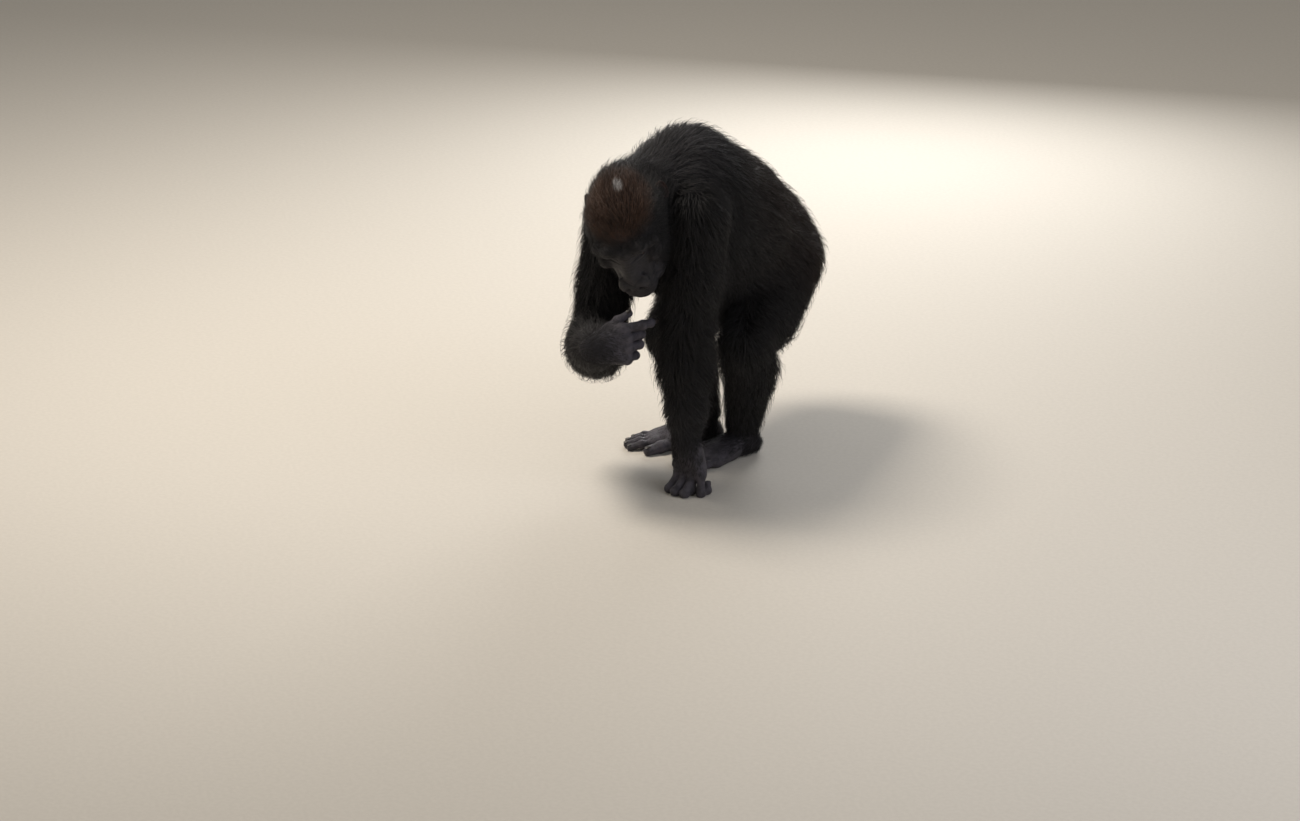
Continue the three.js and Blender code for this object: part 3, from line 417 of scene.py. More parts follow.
def lids(points, found, side):
    """Lids of one eye: a dome a lid's thickness over the eyeball melts into the face, and an
    almond window is carved out of it.  The window is the set of directions from the middle
    of the eye whose height stays under a lid line, h (1 - x^2) over the half width x."""
    away = points - eye_place(side)
    radius = np.linalg.norm(away, axis=1)
    found = melt(found, radius - EYE_RADIUS - LID, 0.005)
    look, outer, up = (away @ eye_frame(side).T).T / np.maximum(radius, 1e-6)
    across = (outer - 0.02) / 0.80
    above = up - 0.34 * (1 - across ** 2) - 0.05 * across
    below = -up - 0.36 * (1 - across ** 2) + 0.05 * across
    window = np.maximum(np.maximum(above, below), np.abs(across) - 1) * EYE_RADIUS
    window = np.maximum(np.maximum(window, -look * EYE_RADIUS), EYE_RADIUS - 0.002 - radius)
    # A crease runs over the upper lid and a pouch hangs under the lower one.
    f, l, u = in_head(points).T
    across = (l * side - 31) / 19
    crease = bump(u - (34 - 6 * across ** 2), 1.5) * step(1.2 - np.abs(across), 0, 0.4)
    pouch = bump(u - (10 + 5 * across ** 2), 1.4) * step(1.2 - np.abs(across), 0, 0.5)
    pouch2 = bump(u - (4 + 4 * across ** 2), 1.5) * step(1.1 - np.abs(across), 0, 0.5)
    near = step(f, 60, 72)
    found = found + near * (0.0016 * crease + 0.0015 * pouch + 0.0009 * pouch2)
    return np.maximum(found, -window)


def wrinkled(points, found):
    """Folds of the face, as grooves in the distance: the mouth line, the rims of the nose,
    furrows over its bridge, pleats of the upper lip and lines across the brow."""
    f, l, u = in_head(points).T
    side = np.abs(l)
    front = step(f, 56, 70)
    mouth = u + 71 + 0.0050 * side ** 2
    groove = 0.0046 * bump(mouth, 2.3) * step(f, 58, 76)
    groove -= 0.0014 * bump(mouth - 6.5, 4.0) * step(f, 86, 104)
    groove -= 0.0012 * bump(mouth + 6.5, 4.0) * step(f, 86, 104)
    # Groove that runs from the wing of the nose round the muzzle to the corner of the mouth.
    ring = np.hypot((side - 17) / 1.18, u + 37)
    groove += 0.0022 * bump(ring - 15.5, 2.6) * step(f, 96, 112) * step(u, -56, -44)
    fold = side - (26 + 0.34 * (-30 - u))
    groove += 0.0018 * bump(fold, 3.2) * step(-u, 18, 34) * step(-u, 76, 60) * front
    groove += 0.0007 * bump(side - (38 + 0.3 * (-30 - u)), 3.4) * step(-u, 10, 30) \
        * step(-u, 70, 50) * front
    # Furrows across the bridge, pleats of the lip and lines over the brow.
    groove += 0.0009 * bump(side, 20) * step(u, -14, 0) * step(u, 40, 26) \
        * (0.5 + 0.5 * np.cos(u * 0.95)) * front
    groove += 0.0005 * (0.5 + 0.5 * np.cos(l * 0.85 + 0.8 * np.sin(u * 0.2))) \
        * step(-u, 50, 56) * step(-u, 72, 66) * step(f, 90, 104)
    groove += 0.0010 * (0.5 + 0.5 * np.cos(u * 0.85 + l * 0.05)) * step(u, 42, 50) \
        * step(u, 72, 60) * step(f, 70, 84)
    groove += 0.0022 * bump(l, 3.2) * step(u, 30, 40) * step(u, 66, 54) * front
    groove += 0.0007 * bump(l, 2.2) * step(-u, 52, 58) * step(f, 100, 112)
    groove += 0.0016 * bump(u + 88 + 0.004 * side ** 2, 3.0) * step(f, 70, 90)
    return found + groove


def face_skin(points):
    """Skin of the head: the melted head, heart-shaped wings of the nose, lids and folds."""
    found = whole_head(points, 0)
    near = np.linalg.norm(points - head(96, 0, -10), axis=1) < 0.125
    if not near.any():
        return found
    spot = points[near]
    face = found[near]
    for side in SIDES:
        wing = head_bone((118, side * 24, -28), (126, side * 27, -42), 8.5, 6.5, 0)
        face = melt(face, wing.distance(spot, 0), 0.008)
    tip = head_bone((118, 0, -18), (130, 0, -36), 9.0, 7.5, 0)
    face = melt(face, tip.distance(spot, 0), 0.010)
    face = wrinkled(spot, face)
    for side in SIDES:
        hole = head_bone((140, side * 15, -44), (118, side * 13.5, -33), 7.2, 4.5, 0)
        face = carve(face, hole.distance(spot, 0), 0.004)
        face = lids(spot, face, side)
    found[near] = face
    return found


def head_shell(points):
    """Head down to a round limit inside the neck, drawn in a little near it."""
    away = np.linalg.norm(points - HEAD_MIDDLE, axis=1) - HEAD_REACH
    found = face_skin(points) + 0.003 * step(away, 0, HEAD_LAP)
    return np.maximum(found, away - HEAD_LAP)


def body_shell(points):
    """Body without hands, feet and head, drawn in a little where it ends inside the head."""
    away = np.linalg.norm(points - HEAD_MIDDLE, axis=1) - HEAD_REACH
    found = melt(melted(SKULL_ROWS, points, 0, SKULL_MELT),
                 melted(TRUNK, points, 0, TRUNK_MELT), NECK_SEAT)
    found = np.maximum(found + 0.004 * step(-away, -0.006, BODY_LAP), -away - BODY_LAP)
    for limb in LIMBS:
        found = melt(found, melted(limb, points, 0, LIMB_MELT), SKIN_SEAT)
    return found


# ---------------------------------------------------------------- ears

def ear_place(side):
    """Middle of an ear."""
    return head(-50, side * 78, 24)


def ear_frame(side):
    """Axes of an ear: broad, flat and upright."""
    flat = unit(LEFTWARD * side * 0.88 + FORWARD * 0.28 + UPWARD * 0.38)
    upright = UPWARD - FORWARD * 0.15
    broad = unit(np.cross(upright, flat))
    return np.array([broad, flat, np.cross(flat, broad)])


def ear_shell(side):
    """Field of an ear: a thin sheet whose height off its plane is the sum of a rolled rim, an
    inner ridge behind a deep bowl, a flap before it and a lobe.  The rim is an egg, broad
    above and narrow below, and the roll fades out in front."""
    axes = ear_frame(side)
    centre = ear_place(side)
    facing = 1.0 if FORWARD @ axes[0] > 0 else -1.0

    def field(points):
        q = (points - centre) @ axes.T * 1000
        x, y, z = q[:, 0] * facing, q[:, 1], q[:, 2]
        wide = x / (19 + 0.15 * z)
        rim = np.hypot(wide, z / 25)
        turn = np.arctan2(z / 25, wide)
        behind = 0.35 + 0.65 * step(-np.cos(turn - 0.9), -0.9, 0.1)
        height = 4.2 * bump(rim - 0.90, 0.10) * behind
        bowl = np.hypot((x - 3) / 11.5, (z + 2) / 14.5)
        height -= 6.0 * bump(bowl, 0.75)
        height += 2.2 * bump(bowl - 1.12, 0.20) * step(-x, -7, 3)
        height += 3.4 * bump(np.hypot((x - 14) / 4.5, (z + 4) / 6.0), 1.0)
        height += 2.0 * bump(np.hypot((x - 6) / 6.0, (z + 22) / 4.5), 1.0)
        thick = 1.7 + 1.2 * bump(rim - 0.92, 0.12) + 1.4 * step(x, 8, 18)
        sheet = np.abs(y - height + 1.0) - thick
        edge = (rim - 0.98) * 19
        return -melt(-sheet, -edge, 2.0) / 1000

    return field, axes, centre


# ---------------------------------------------------------------- hands

PALM = 90
FINGER_PITCH = 25.4
PHALANX = (52, 28, 18)
FINGER_RADII = (12.2, 10)
THUMB_RADII = (12.5, 9)
FLAT = 1.6                     # depth that a planted knuckle gives under the weight
# Fingers from the index to the little one: place across the palm in pitches, and size.
FINGERS = ((1.5, 0.98), (0.5, 1.04), (-0.5, 1.0), (-1.5, 0.88))
# Turns of the bones off the hand's distal way, in degrees, towards the palm below 0.
PLANTED_CURL = (-96, -172)
RAISED_TURNS = ((-14, -40, -66), (-50, -104, -146), (-58, -116, -158), (-64, -122, -164))


class Hand:
    """Frame of a hand: distal along its back, radial to the thumb, dorsal out of its back."""

    def __init__(self, wrist, distal, radial, side):
        self.wrist = wrist
        self.distal = unit(distal)
        self.radial = unit(np.asarray(radial) - self.distal * (np.asarray(radial) @ self.distal))
        self.dorsal = np.cross(self.radial, self.distal) * side

    def at(self, distal, radial, dorsal):
        """Point from millimetres along the three axes off the wrist."""
        return self.wrist + (self.distal * distal + self.radial * radial
                             + self.dorsal * dorsal) / 1000


LEFT_HAND = Hand(LEFT_WRIST, (0.2, -0.06, -1), (-1, 0.2, 0), 1)
RIGHT_HAND = Hand(RIGHT_WRIST, (0.78, 0.6, 0.14), (-0.19, 0.1, 1), -1)
LEFT_THUMB = [LEFT_HAND.at(*p) for p in ((44, 38, -12), (70, 52, -14), (92, 56, -14))]
RIGHT_THUMB = [RIGHT_HAND.at(*p) for p in ((44, 38, -12), (73, 58, -16), (104, 70, -22))]


def palm_reach(row):
    """Length of a palm bone: the middle ones are longest."""
    return PALM - 3 * row ** 2


def planted_turns(row, size):
    """Turns of a planted finger: the first bone drops by the arc cosine that brings its
    knuckle to the floor, the second lies flat and the last curls up."""
    hand = LEFT_HAND
    radius = FINGER_RADII[0] + (FINGER_RADII[1] - FINGER_RADII[0]) / 3
    root = hand.at(palm_reach(row), row * FINGER_PITCH, 0)[2] * 1000
    drop = (root - radius * size + FLAT) / (PHALANX[0] * size)
    lean = np.arctan2(hand.dorsal[2], hand.distal[2])
    turn = lean - np.arccos(-drop / np.hypot(hand.dorsal[2], hand.distal[2]))
    return (np.degrees(turn), *PLANTED_CURL)


PLANTED_TURNS = [planted_turns(row, size) for row, size in FINGERS]
HANDS = ((LEFT_HAND, PLANTED_TURNS, LEFT_THUMB, LEFT_ARM),
         (RIGHT_HAND, RAISED_TURNS, RIGHT_THUMB, RIGHT_ARM))


def finger_joints(hand, row, size, turns):
    """Joints of a finger: each bone leaves the last at its own turn towards the palm."""
    joints = [hand.at(palm_reach(row), row * FINGER_PITCH, 0)]
    for turn, length in zip(np.radians(turns), PHALANX):
        way = hand.distal * np.cos(turn) + hand.dorsal * np.sin(turn)
        joints.append(joints[-1] + way * length * size / 1000)
    return joints


def chain(joints, first, last, knuckle=0.0):
    """Bones of a digit through its joints, with a slight swell at each inner joint."""
    count = len(joints) - 1
    rows = []
    for i in range(count):
        ra = first + (last - first) * i / count
        rb = first + (last - first) * (i + 1) / count
        rows.append(Bone(joints[i], joints[i + 1], ra, rb))
        if knuckle and i:
            rows.append(Mass(joints[i], (ra + knuckle,) * 3))
    return rows


def hand_rows(hand):
    """Palm with its four bones, the balls of the thumb and the little finger, and the end
    of the forearm."""
    return [
        Bone(hand.wrist, hand.at(26, 0, 0), 29, 30, 9, 0),
        *[Bone(hand.at(18, row * 11, 0), hand.at(palm_reach(row) - 3, row * FINGER_PITCH, 0),
               21.5, 15) for row, _ in FINGERS],
        Bone(hand.at(20, 22, -8), hand.at(48, 42, -12), 17, 15),
        Bone(hand.at(15, -20, -10), hand.at(70, -29, -13), 18, 14),
    ]


def digits_of(hand, turns, thumb):
    """Chains of the four fingers and the thumb of a hand."""
    found = [chain(finger_joints(hand, row, size, bends), FINGER_RADII[0] * size,
                   FINGER_RADII[1] * size, 0.7)
             for (row, size), bends in zip(FINGERS, turns)]
    return [*found, chain(thumb, *THUMB_RADII, 0.5)]


def extremity(palm_rows, digits, limb, centre, reach, k):
    """Field of a hand or foot: the palm melts into the limb, each digit melts into the palm
    but not into the next digit, creases ring the digits' joints, and a round limit inside
    the limb closes it."""
    def field(points):
        palm = melted(palm_rows, points, 0, k)
        palm = melt(palm, melted(limb[-2:], points, 0, LIMB_MELT), 0.012)
        found = palm
        for rows in digits:
            digit = melted(rows, points, 0, 0.005)
            for row in rows:
                if isinstance(row, Mass):
                    away = np.linalg.norm(points - row.centre, axis=1)
                    ripple = 0.5 - 0.5 * np.cos(away * 1000 * 1.5)
                    digit = digit + 0.0008 * ripple * bump(away, 0.014)
            found = np.minimum(found, melt(palm, digit, 0.008))
        found = np.maximum(found, -points[:, 2] + 0.0004)
        away = np.linalg.norm(points - centre, axis=1) - reach
        return np.maximum(found + 0.002 * step(away, -0.020, 0), away)
    return field


# ---------------------------------------------------------------- feet

TOE_PITCH = 21
# Small toes from the second to the fifth: place across the foot in pitches, and size.
TOES = ((1, 1.0), (0, 1.03), (-1, 0.98), (-2, 0.86))
TOE_RADII = (10.6, 9)
BIG_TOE_RADII = (17, 13)
SOLE_RADIUS = 16


def toe_root(row):
    """Place of a toe's root: the toes lie along an arc."""
    return 52 - 3 * (row - 0.3) ** 2, row * TOE_PITCH + 4


def foot_rows(foot):
    """Heel, ankle, instep, the bones to each toe and the ball of the big toe."""
    rows = [
        Bone(foot.at(-72, 0, ANKLE_HEIGHT + 30), foot.at(-70, 0, 62), 35, 34, 18, 0),
        Bone(foot.at(-90, 0, 28), foot.at(-64, 0, 33), 29.5, 33),
        Bone(foot.at(-64, 0, 33), foot.at(8, 0, 24), 33, 24),
        Bone(foot.at(-44, 12, 27), foot.at(2, 42, 20), 25, 20),
    ]
    for row, _ in TOES:
        forward, inward = toe_root(row)
        rows.append(Bone(foot.at(-24, inward * 0.5, 25), foot.at(forward - 8, inward, 15),
                         24, SOLE_RADIUS))
    return rows


def toe_joints(foot, row, size):
    """Joints of a toe, which arches a little and comes down at its tip."""
    forward, inward = toe_root(row)
    return [foot.at(forward - 12, inward, 14), foot.at(forward + 22 * size, inward * 1.08, 15),
            foot.at(forward + 50 * size, inward * 1.12, 8)]


def big_toe_joints(foot):
    """Joints of the big toe, set apart like a thumb."""
    return [foot.at(4, 42, 16), foot.at(36, 60, 16), foot.at(66, 70, 11)]


def toes_of(foot):
    """Chains of the four toes and the big toe."""
    found = [chain(toe_joints(foot, row, size), TOE_RADII[0] * size, TOE_RADII[1] * size, 0.5)
             for row, size in TOES]
    return [*found, chain(big_toe_joints(foot), *BIG_TOE_RADII, 0.6)]


# ---------------------------------------------------------------- surfaces

CHUNK = 120000                 # most points worked out at once


def sample(field, points):
    """Values of a field at an array of points, worked out in slices that suit the memory."""
    slices = np.array_split(points, max(1, len(points) // CHUNK))
    return np.concatenate([field(part) for part in slices])


def slope(field, points, reach=0.0006):
    """Gradient of a field by central differences along the three axes."""
    found = np.empty_like(points)
    for axis in range(3):
        shift = np.zeros(3)
        shift[axis] = reach
        found[:, axis] = (sample(field, points + shift) - sample(field, points - shift))
    return found / (2 * reach)


def net(field, ticks, axes, origin):
    """Closed mesh of the surface where a field is 0, over a grid of the given ticks along
    three axes.  Every cell that the surface crosses gets one point, the mean of the crossings
    on its edges, and every crossed edge gives the face between the four cells round it.  Each
    point is then moved along the slope onto the surface."""
    size = [len(t) for t in ticks]
    strides = (size[1] * size[2], size[2], 1)
    grid = np.stack(np.meshgrid(*ticks, indexing="ij"), -1).reshape(-1, 3) @ axes + origin
    values = sample(field, grid).reshape(size)
    for axis in range(3):
        rim = np.moveaxis(values, axis, 0)
        rim[0] = np.maximum(rim[0], 1e-4)
        rim[-1] = np.maximum(rim[-1], 1e-4)
    values = values.ravel()
    inside = values < 0
    corners, spots = [], []
    for axis in range(3):
        s = strides[axis]
        su = strides[(axis + 1) % 3]
        sv = strides[(axis + 2) % 3]
        low = np.flatnonzero(inside[:-s] != inside[s:])
        share = values[low] / (values[low] - values[low + s])
        spots.append(grid[low] + share[:, None] * (grid[low + s] - grid[low]))
        ring = np.stack([low - su - sv, low - sv, low, low - su], 1)
        corners.append(np.where(inside[low][:, None], ring, ring[:, ::-1]))
    corners = np.concatenate(corners)
    spots = np.concatenate(spots)
    cells, index = np.unique(corners, return_inverse=True)
    index = index.reshape(corners.shape)
    count = np.bincount(index.ravel(), minlength=len(cells))
    points = np.stack([np.bincount(index.ravel(), np.repeat(spots[:, i], 4), len(cells))
                       for i in range(3)], 1) / count[:, None]
    cell = max(np.diff(t).min() for t in ticks)
    way = slope(field, points)
    push = sample(field, points) / np.maximum((way ** 2).sum(1), 0.2)
    points -= way * np.clip(push, -cell / 2, cell / 2)[:, None]
    return points, index


def ticks_for(low, high, cell):
    """Even ticks from low to high with about the given step."""
    return np.arange(low, high + cell, cell)


def joined(pieces):
    """Points and faces of several meshes as one."""
    shift = np.cumsum([0] + [len(points) for points, _ in pieces[:-1]])
    return (np.concatenate([points for points, _ in pieces]),
            np.concatenate([faces + s for (_, faces), s in zip(pieces, shift)]))


def make(name, points, faces):
    """Mesh object from an array of points and arrays of faces of three or four corners."""
    faces = faces if isinstance(faces, list) else [faces]
    faces = [f for f in faces if len(f)]
    mesh = bpy.data.meshes.new(name)
    mesh.vertices.add(len(points))
    mesh.vertices.foreach_set("co", np.asarray(points, np.float32).ravel())
    sizes = np.concatenate([np.full(len(f), f.shape[1]) for f in faces])
    corners = np.concatenate([f.ravel() for f in faces])
    mesh.loops.add(len(corners))
    mesh.loops.foreach_set("vertex_index", corners.astype(np.int32))
    mesh.polygons.add(len(sizes))
    starts = np.concatenate([[0], np.cumsum(sizes)[:-1]])
    mesh.polygons.foreach_set("loop_start", starts.astype(np.int32))
    mesh.polygons.foreach_set("use_smooth", np.full(len(sizes), True))
    mesh.update(calc_edges=True)
    thing = bpy.data.objects.new(name, mesh)
    bpy.context.scene.collection.objects.link(thing)
    return thing


def keep(thing, material):
    """A finished piece rides on the body and takes the finish of a slot."""
    thing.data.materials.append(material)
    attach(thing, "root")


def number(thing, name, values):
    """A number at every point of a mesh, for its material to read."""
    layer = thing.data.attributes.new(name, "FLOAT", "POINT")
    layer.data.foreach_set("value", np.asarray(values, np.float32))


# Cells of the shells' grids and the boxes that they fill, as half widths along their axes.
HEAD_CELL = 0.0021
CRANIUM_CELL, FACE_CELL = 4.0, 1.75        # millimetres forward, behind the face and on it
EAR_CELL, EAR_BOX = 0.0016, (0.034, 0.016, 0.036)
HAND_CELL, HAND_BOX = 0.0026, (0.092, 0.115, 0.10)
FOOT_CELL, FOOT_BOX = 0.0032, (0.140, 0.140, 0.125)
HAND_REACH, HAND_MELT = 0.112, 0.012
FOOT_REACH, FOOT_MELT = 0.150, 0.014
BODY_MARGIN = 0.01             # room round the solids
BODY_FOOT = 0.05               # height from which the body's skin is sought


def box_ticks(half_widths, cell):
    """Ticks of a box about its middle."""
    return [ticks_for(-half, half, cell) for half in half_widths]


def skin_meshes(cell):
    """All shells of the skin: body, head, ears, hands and feet."""
    low = np.array(CAD_BOX[0]) - BODY_MARGIN
    high = np.array(CAD_BOX[1]) + BODY_MARGIN
    low[2] = BODY_FOOT
    ticks = [ticks_for(low[i], high[i], cell) for i in range(3)]
    shells = [net(body_shell, ticks, np.eye(3), np.zeros(3))]
    size = HEAD_SIZE / 1000
    forward = np.concatenate([np.arange(-140, 40, CRANIUM_CELL / HEAD_SIZE),
                              np.arange(40, 152, FACE_CELL / HEAD_SIZE)]) * size
    ticks = [forward, ticks_for(-118 * size, 118 * size, HEAD_CELL),
             ticks_for(-150 * size, 128 * size, HEAD_CELL)]
    shells.append(net(head_shell, ticks, HEAD_AXES, SKULL))
    for side in SIDES:
        field, axes, centre = ear_shell(side)
        shells.append(net(field, box_ticks(EAR_BOX, EAR_CELL), axes, centre))
    for hand, turns, thumb, limb in HANDS:
        centre = hand.at(62, 0, -18)
        axes = np.array([hand.radial, hand.distal, np.cross(hand.radial, hand.distal)])
        field = extremity(hand_rows(hand), digits_of(hand, turns, thumb), limb, centre,
                          HAND_REACH, HAND_MELT)
        shells.append(net(field, box_ticks(HAND_BOX, HAND_CELL), axes, centre))
    for foot, limb in ((LEFT_FOOT, LEFT_LEG), (RIGHT_FOOT, RIGHT_LEG)):
        centre = foot.at(-8, 0, 20)
        axes = np.array([foot.inner, foot.toes, np.cross(foot.inner, foot.toes)])
        axes[2] *= np.sign(axes[2, 2])
        axes = axes if np.linalg.det(axes) > 0 else axes[[1, 0, 2]]
        field = extremity(foot_rows(foot), toes_of(foot), limb, centre, FOOT_REACH,
                          FOOT_MELT)
        shells.append(net(field, box_ticks(FOOT_BOX, FOOT_CELL), axes, centre))
    return shells


def globe(rings, turns):
    """Grid of a ball with a point at each pole: the angle of every point off the first pole,
    its turn round the axis, the quads between the rings and the triangles at the poles."""
    turn = np.arange(turns) * 2 * np.pi / turns
    angle, turn = [g.ravel() for g in np.meshgrid(
        np.linspace(0, np.pi, rings + 1)[1:-1], turn, indexing="ij")]
    angle = np.concatenate([[0], angle, [np.pi]])
    turn = np.concatenate([[0], turn, [0]])
    ring = 1 + np.arange(rings - 1)[:, None] * turns
    here = np.arange(turns)
    after = (here + 1) % turns
    quads = np.stack([ring[:-1] + here, ring[1:] + here, ring[1:] + after,
                      ring[:-1] + after], -1).reshape(-1, 4)
    last = len(angle) - 1
    caps = np.concatenate([
        np.stack([np.zeros(turns, int), 1 + here, 1 + after], 1),
        np.stack([np.full(turns, last), ring[-1] + after, ring[-1] + here], 1)])
    return angle, turn, quads, caps


# ---------------------------------------------------------------- lie of the coat

class Region:
    """A stretch of coat: a name, the rows it grows on, a path for its unwrap, the length of
    its locks against the depth of the coat, the spacing and width of its locks, how far they
    may stand out of the coat's outline and the least depth of the coat on it."""

    def __init__(self, name, rows, path, longer, spacing, width, loose, least=0.010):
        self.name = name
        self.rows = rows
        self.path = np.array(path)
        self.longer = longer
        self.spacing = spacing
        self.width = width
        self.loose = loose
        self.least = least


REGIONS = [
    Region("head", SKULL_ROWS + FACE_ROWS, [head(120, 0, 0), head(-120, 0, 0)],
           1.75, 0.0035, 0.0016, 0.002, 0.008),
    Region("trunk", TRUNK, [place(34, -260, 700), HUMP, place(14, 110, 550),
                            place(10, 300, 484)], 2.5, 0.0049, 0.0025, 0.006),
    Region("arm_left", LEFT_ARM, [LEFT_SHOULDER, LEFT_ELBOW, LEFT_WRIST],
           2.3, 0.0045, 0.0024, 0.006),
    Region("arm_right", RIGHT_ARM, [RIGHT_SHOULDER, RIGHT_ELBOW, RIGHT_WRIST],
           2.3, 0.0045, 0.0024, 0.007),
    Region("leg_left", LEFT_LEG, [LEFT_HIP, LEFT_KNEE, LEFT_ANKLE],
           2.4, 0.0047, 0.0025, 0.008),
    Region("leg_right", RIGHT_LEG, [RIGHT_HIP, RIGHT_KNEE, RIGHT_ANKLE],
           2.4, 0.0047, 0.0025, 0.008),
]


def spots_on(points, faces, count, rng):
    """Points spread at random over a mesh, as many to each face as its area asks, with the
    normal of the face."""
    corners = points[faces[:, :3]], points[faces[:, [0, 2, 3]]]
    a, b, c = [np.concatenate([corners[0][:, i], corners[1][:, i]]) for i in range(3)]
    normal = np.cross(b - a, c - a)
    area = np.linalg.norm(normal, axis=1)
    pick = np.searchsorted(np.cumsum(area), rng.random(count) * area.sum())
    pick = np.minimum(pick, len(area) - 1)
    s, t = rng.random((2, count))
    over = s + t > 1
    s, t = np.where(over, 1 - s, s), np.where(over, 1 - t, t)
    found = a[pick] + s[:, None] * (b - a)[pick] + t[:, None] * (c - a)[pick]
    return found, unit(normal)[pick], area.sum() / 2


CUBES = 4096                   # more cubes than any region is long, so that keys differ


def one_per_cell(points, spacing):
    """Indices of the first point in each small cube of space, which spreads them evenly."""
    keys = np.floor(points / spacing).astype(np.int64)
    keys = (keys[:, 0] * CUBES + keys[:, 1]) * CUBES + keys[:, 2]
    return np.unique(keys, return_index=True)[1]


def waves(points, length, seed, count=7):
    """Slow noise: the mean of sine waves in random directions with about one length."""
    rng = np.random.default_rng(seed)
    ways = unit(rng.normal(size=(count, 3)))
    lengths = length * rng.uniform(0.7, 1.5, (count, 1))
    ways = ways * 2 * np.pi / lengths
    return np.sin(points @ ways.T + rng.uniform(0, 6.3, count)).sum(1) / np.sqrt(count)


ROW_FADE = 0.014               # distance over which a row's say in the coat fades


def weights_of(rows, points):
    """Share of each row in each point: e to the power of minus its distance beyond the
    nearest row over the fade, brought to a sum of 1."""
    away = np.stack([row.distance(points, 0) for row in rows])
    share = np.exp(-(away - away.min(0)) / ROW_FADE)
    return share / share.sum(0)


def lie_of(rows, points):
    """Depth of the coat and the lie of its locks at each point, shared between the rows."""
    share = weights_of(rows, points)
    depth = sum(w * row.depth(points) for w, row in zip(share, rows))
    flow = sum(w[:, None] * unit(row.lie) for w, row in zip(share, rows))
    return depth, flow


def on_path(points, path):
    """Place of each point on an unwrap along a path: the turn round it, and how far along."""
    parts = np.diff(path, axis=0)
    lengths = np.linalg.norm(parts, axis=1)
    starts = np.concatenate([[0], np.cumsum(lengths)[:-1]])
    best = np.full(len(points), 1e9)
    along = np.zeros(len(points))
    turn = np.zeros(len(points))
    for start, part, base, length in zip(path[:-1], parts, starts, lengths):
        axis = part / length
        t = (points - start) @ axis
        foot = start + np.clip(t, 0, length)[:, None] * axis
        away = points - foot
        distance = np.linalg.norm(away, axis=1)
        side = unit(np.cross(axis, (0.31, 0.17, 0.93)))
        other = np.cross(axis, side)
        nearer = distance < best
        best = np.where(nearer, distance, best)
        along = np.where(nearer, base + t, along)
        turn = np.where(nearer, np.arctan2(away @ other, away @ side), turn)
    return turn / (2 * np.pi) + 0.5, along


FLOOR_GAP = 0.0006             # least height of a lock's points over the floor
ROOT_DEPTH = 0.001             # depth of a lock's root in the skin
RINGS = np.array([0.0, 0.34, 0.68])         # places along a lock, as shares of its length
RING_WIDTHS = np.array([1.0, 0.86, 0.5])    # and its width there
LOCK_POINTS = 10


def lock_faces(count):
    """Corners of the faces of many locks: three rings of three points and a tip each, six
    four-cornered faces and three at the tip."""
    quads = [[r * 3 + i, r * 3 + (i + 1) % 3, r * 3 + 3 + (i + 1) % 3, r * 3 + 3 + i]
             for r in range(2) for i in range(3)]
    tips = [[6 + i, 6 + (i + 1) % 3, 9] for i in range(3)]
    base = (np.arange(count) * LOCK_POINTS)[:, None, None]
    return (np.array(quads) + base).reshape(-1, 4), (np.array(tips) + base).reshape(-1, 3)


def locks(root, normal, flow, length, lift, width, loose, rng, free):
    """Points of many locks.  Each lock walks from its root in three steps along the lie of the
    coat, which turns with the coat's outside as it goes.  At the share s of its length it
    stands the lift times 1 - (1 - s)^2 higher in the coat than its root, and never more than
    the loose length beyond the outside.  A free lock, on a hand or foot, keeps to its root's
    plane instead.  Its section is a flat roof of three points that narrows to the tip, and
    no point comes nearer to the floor than the gap."""
    shares = np.append(RINGS, 1.0)
    sway = rng.normal(size=len(root)) * 0.16
    curl = rng.normal(size=len(root)) * 0.10
    side = unit(np.cross(flow, normal))
    lines = [root - normal * ROOT_DEPTH]
    ups = [normal]
    start = None if free else sample(coat_room, root)
    spot, out = root, normal
    for i in (1, 2, 3):
        share, gone = shares[i], shares[i] - shares[i - 1]
        aside = sway * share + curl * np.cos(5 * share)
        way = unit(flow + side * aside[:, None])
        spot = spot + way * (length * gone)[:, None]
        rise = lift * (1 - (1 - share) ** 2)
        if free:
            spot = spot + normal * (lift * (2 - share - shares[i - 1]) * gone)[:, None]
        else:
            level = np.minimum(start + rise, loose * share ** 2)
            here = sample(coat_room, spot)
            shifts = np.eye(3) * 0.002
            out = unit(np.stack([sample(coat_room, spot + e) - here for e in shifts], 1))
            spot = spot + out * np.clip(level - here, -0.02, 0.02)[:, None]
            flow = unit(flow - out * (flow * out).sum(1)[:, None])
        lines.append(spot)
        ups.append(out)
        side = unit(np.cross(flow, out))
    lines = np.stack(lines, 1)
    points = np.empty((len(root), LOCK_POINTS, 3))
    for i, share in enumerate(RING_WIDTHS):
        w = (width * share / 2)[:, None]
        tangent = unit(lines[:, i + 1] - lines[:, max(i - 1, 0)])
        side = unit(np.cross(tangent, ups[i]))
        up = np.cross(side, tangent)
        points[:, i * 3] = lines[:, i] - side * w
        points[:, i * 3 + 1] = lines[:, i] + side * w
        points[:, i * 3 + 2] = lines[:, i] + up * w * 0.7
    points[:, -1] = lines[:, 3]
    points[..., 2] = np.maximum(points[..., 2], FLOOR_GAP)
    return points


def bare(points):
    """How bare the skin is, from 0 to 1: the face below the brow, between the cheeks and
    down to the chin."""
    f, l, u = in_head(points).T
    side = np.abs(l)
    edge = np.maximum(0.9 * (side - 47), u - 41)
    edge = np.maximum(edge, 48 - f + 0.05 * side)
    edge = np.maximum(edge, -u - 106)
    return step(-edge + 2.5 * waves(points, 0.02, 11), -3, 5) * (f > 30) * (side < 90)


# ---------------------------------------------------------------- materials

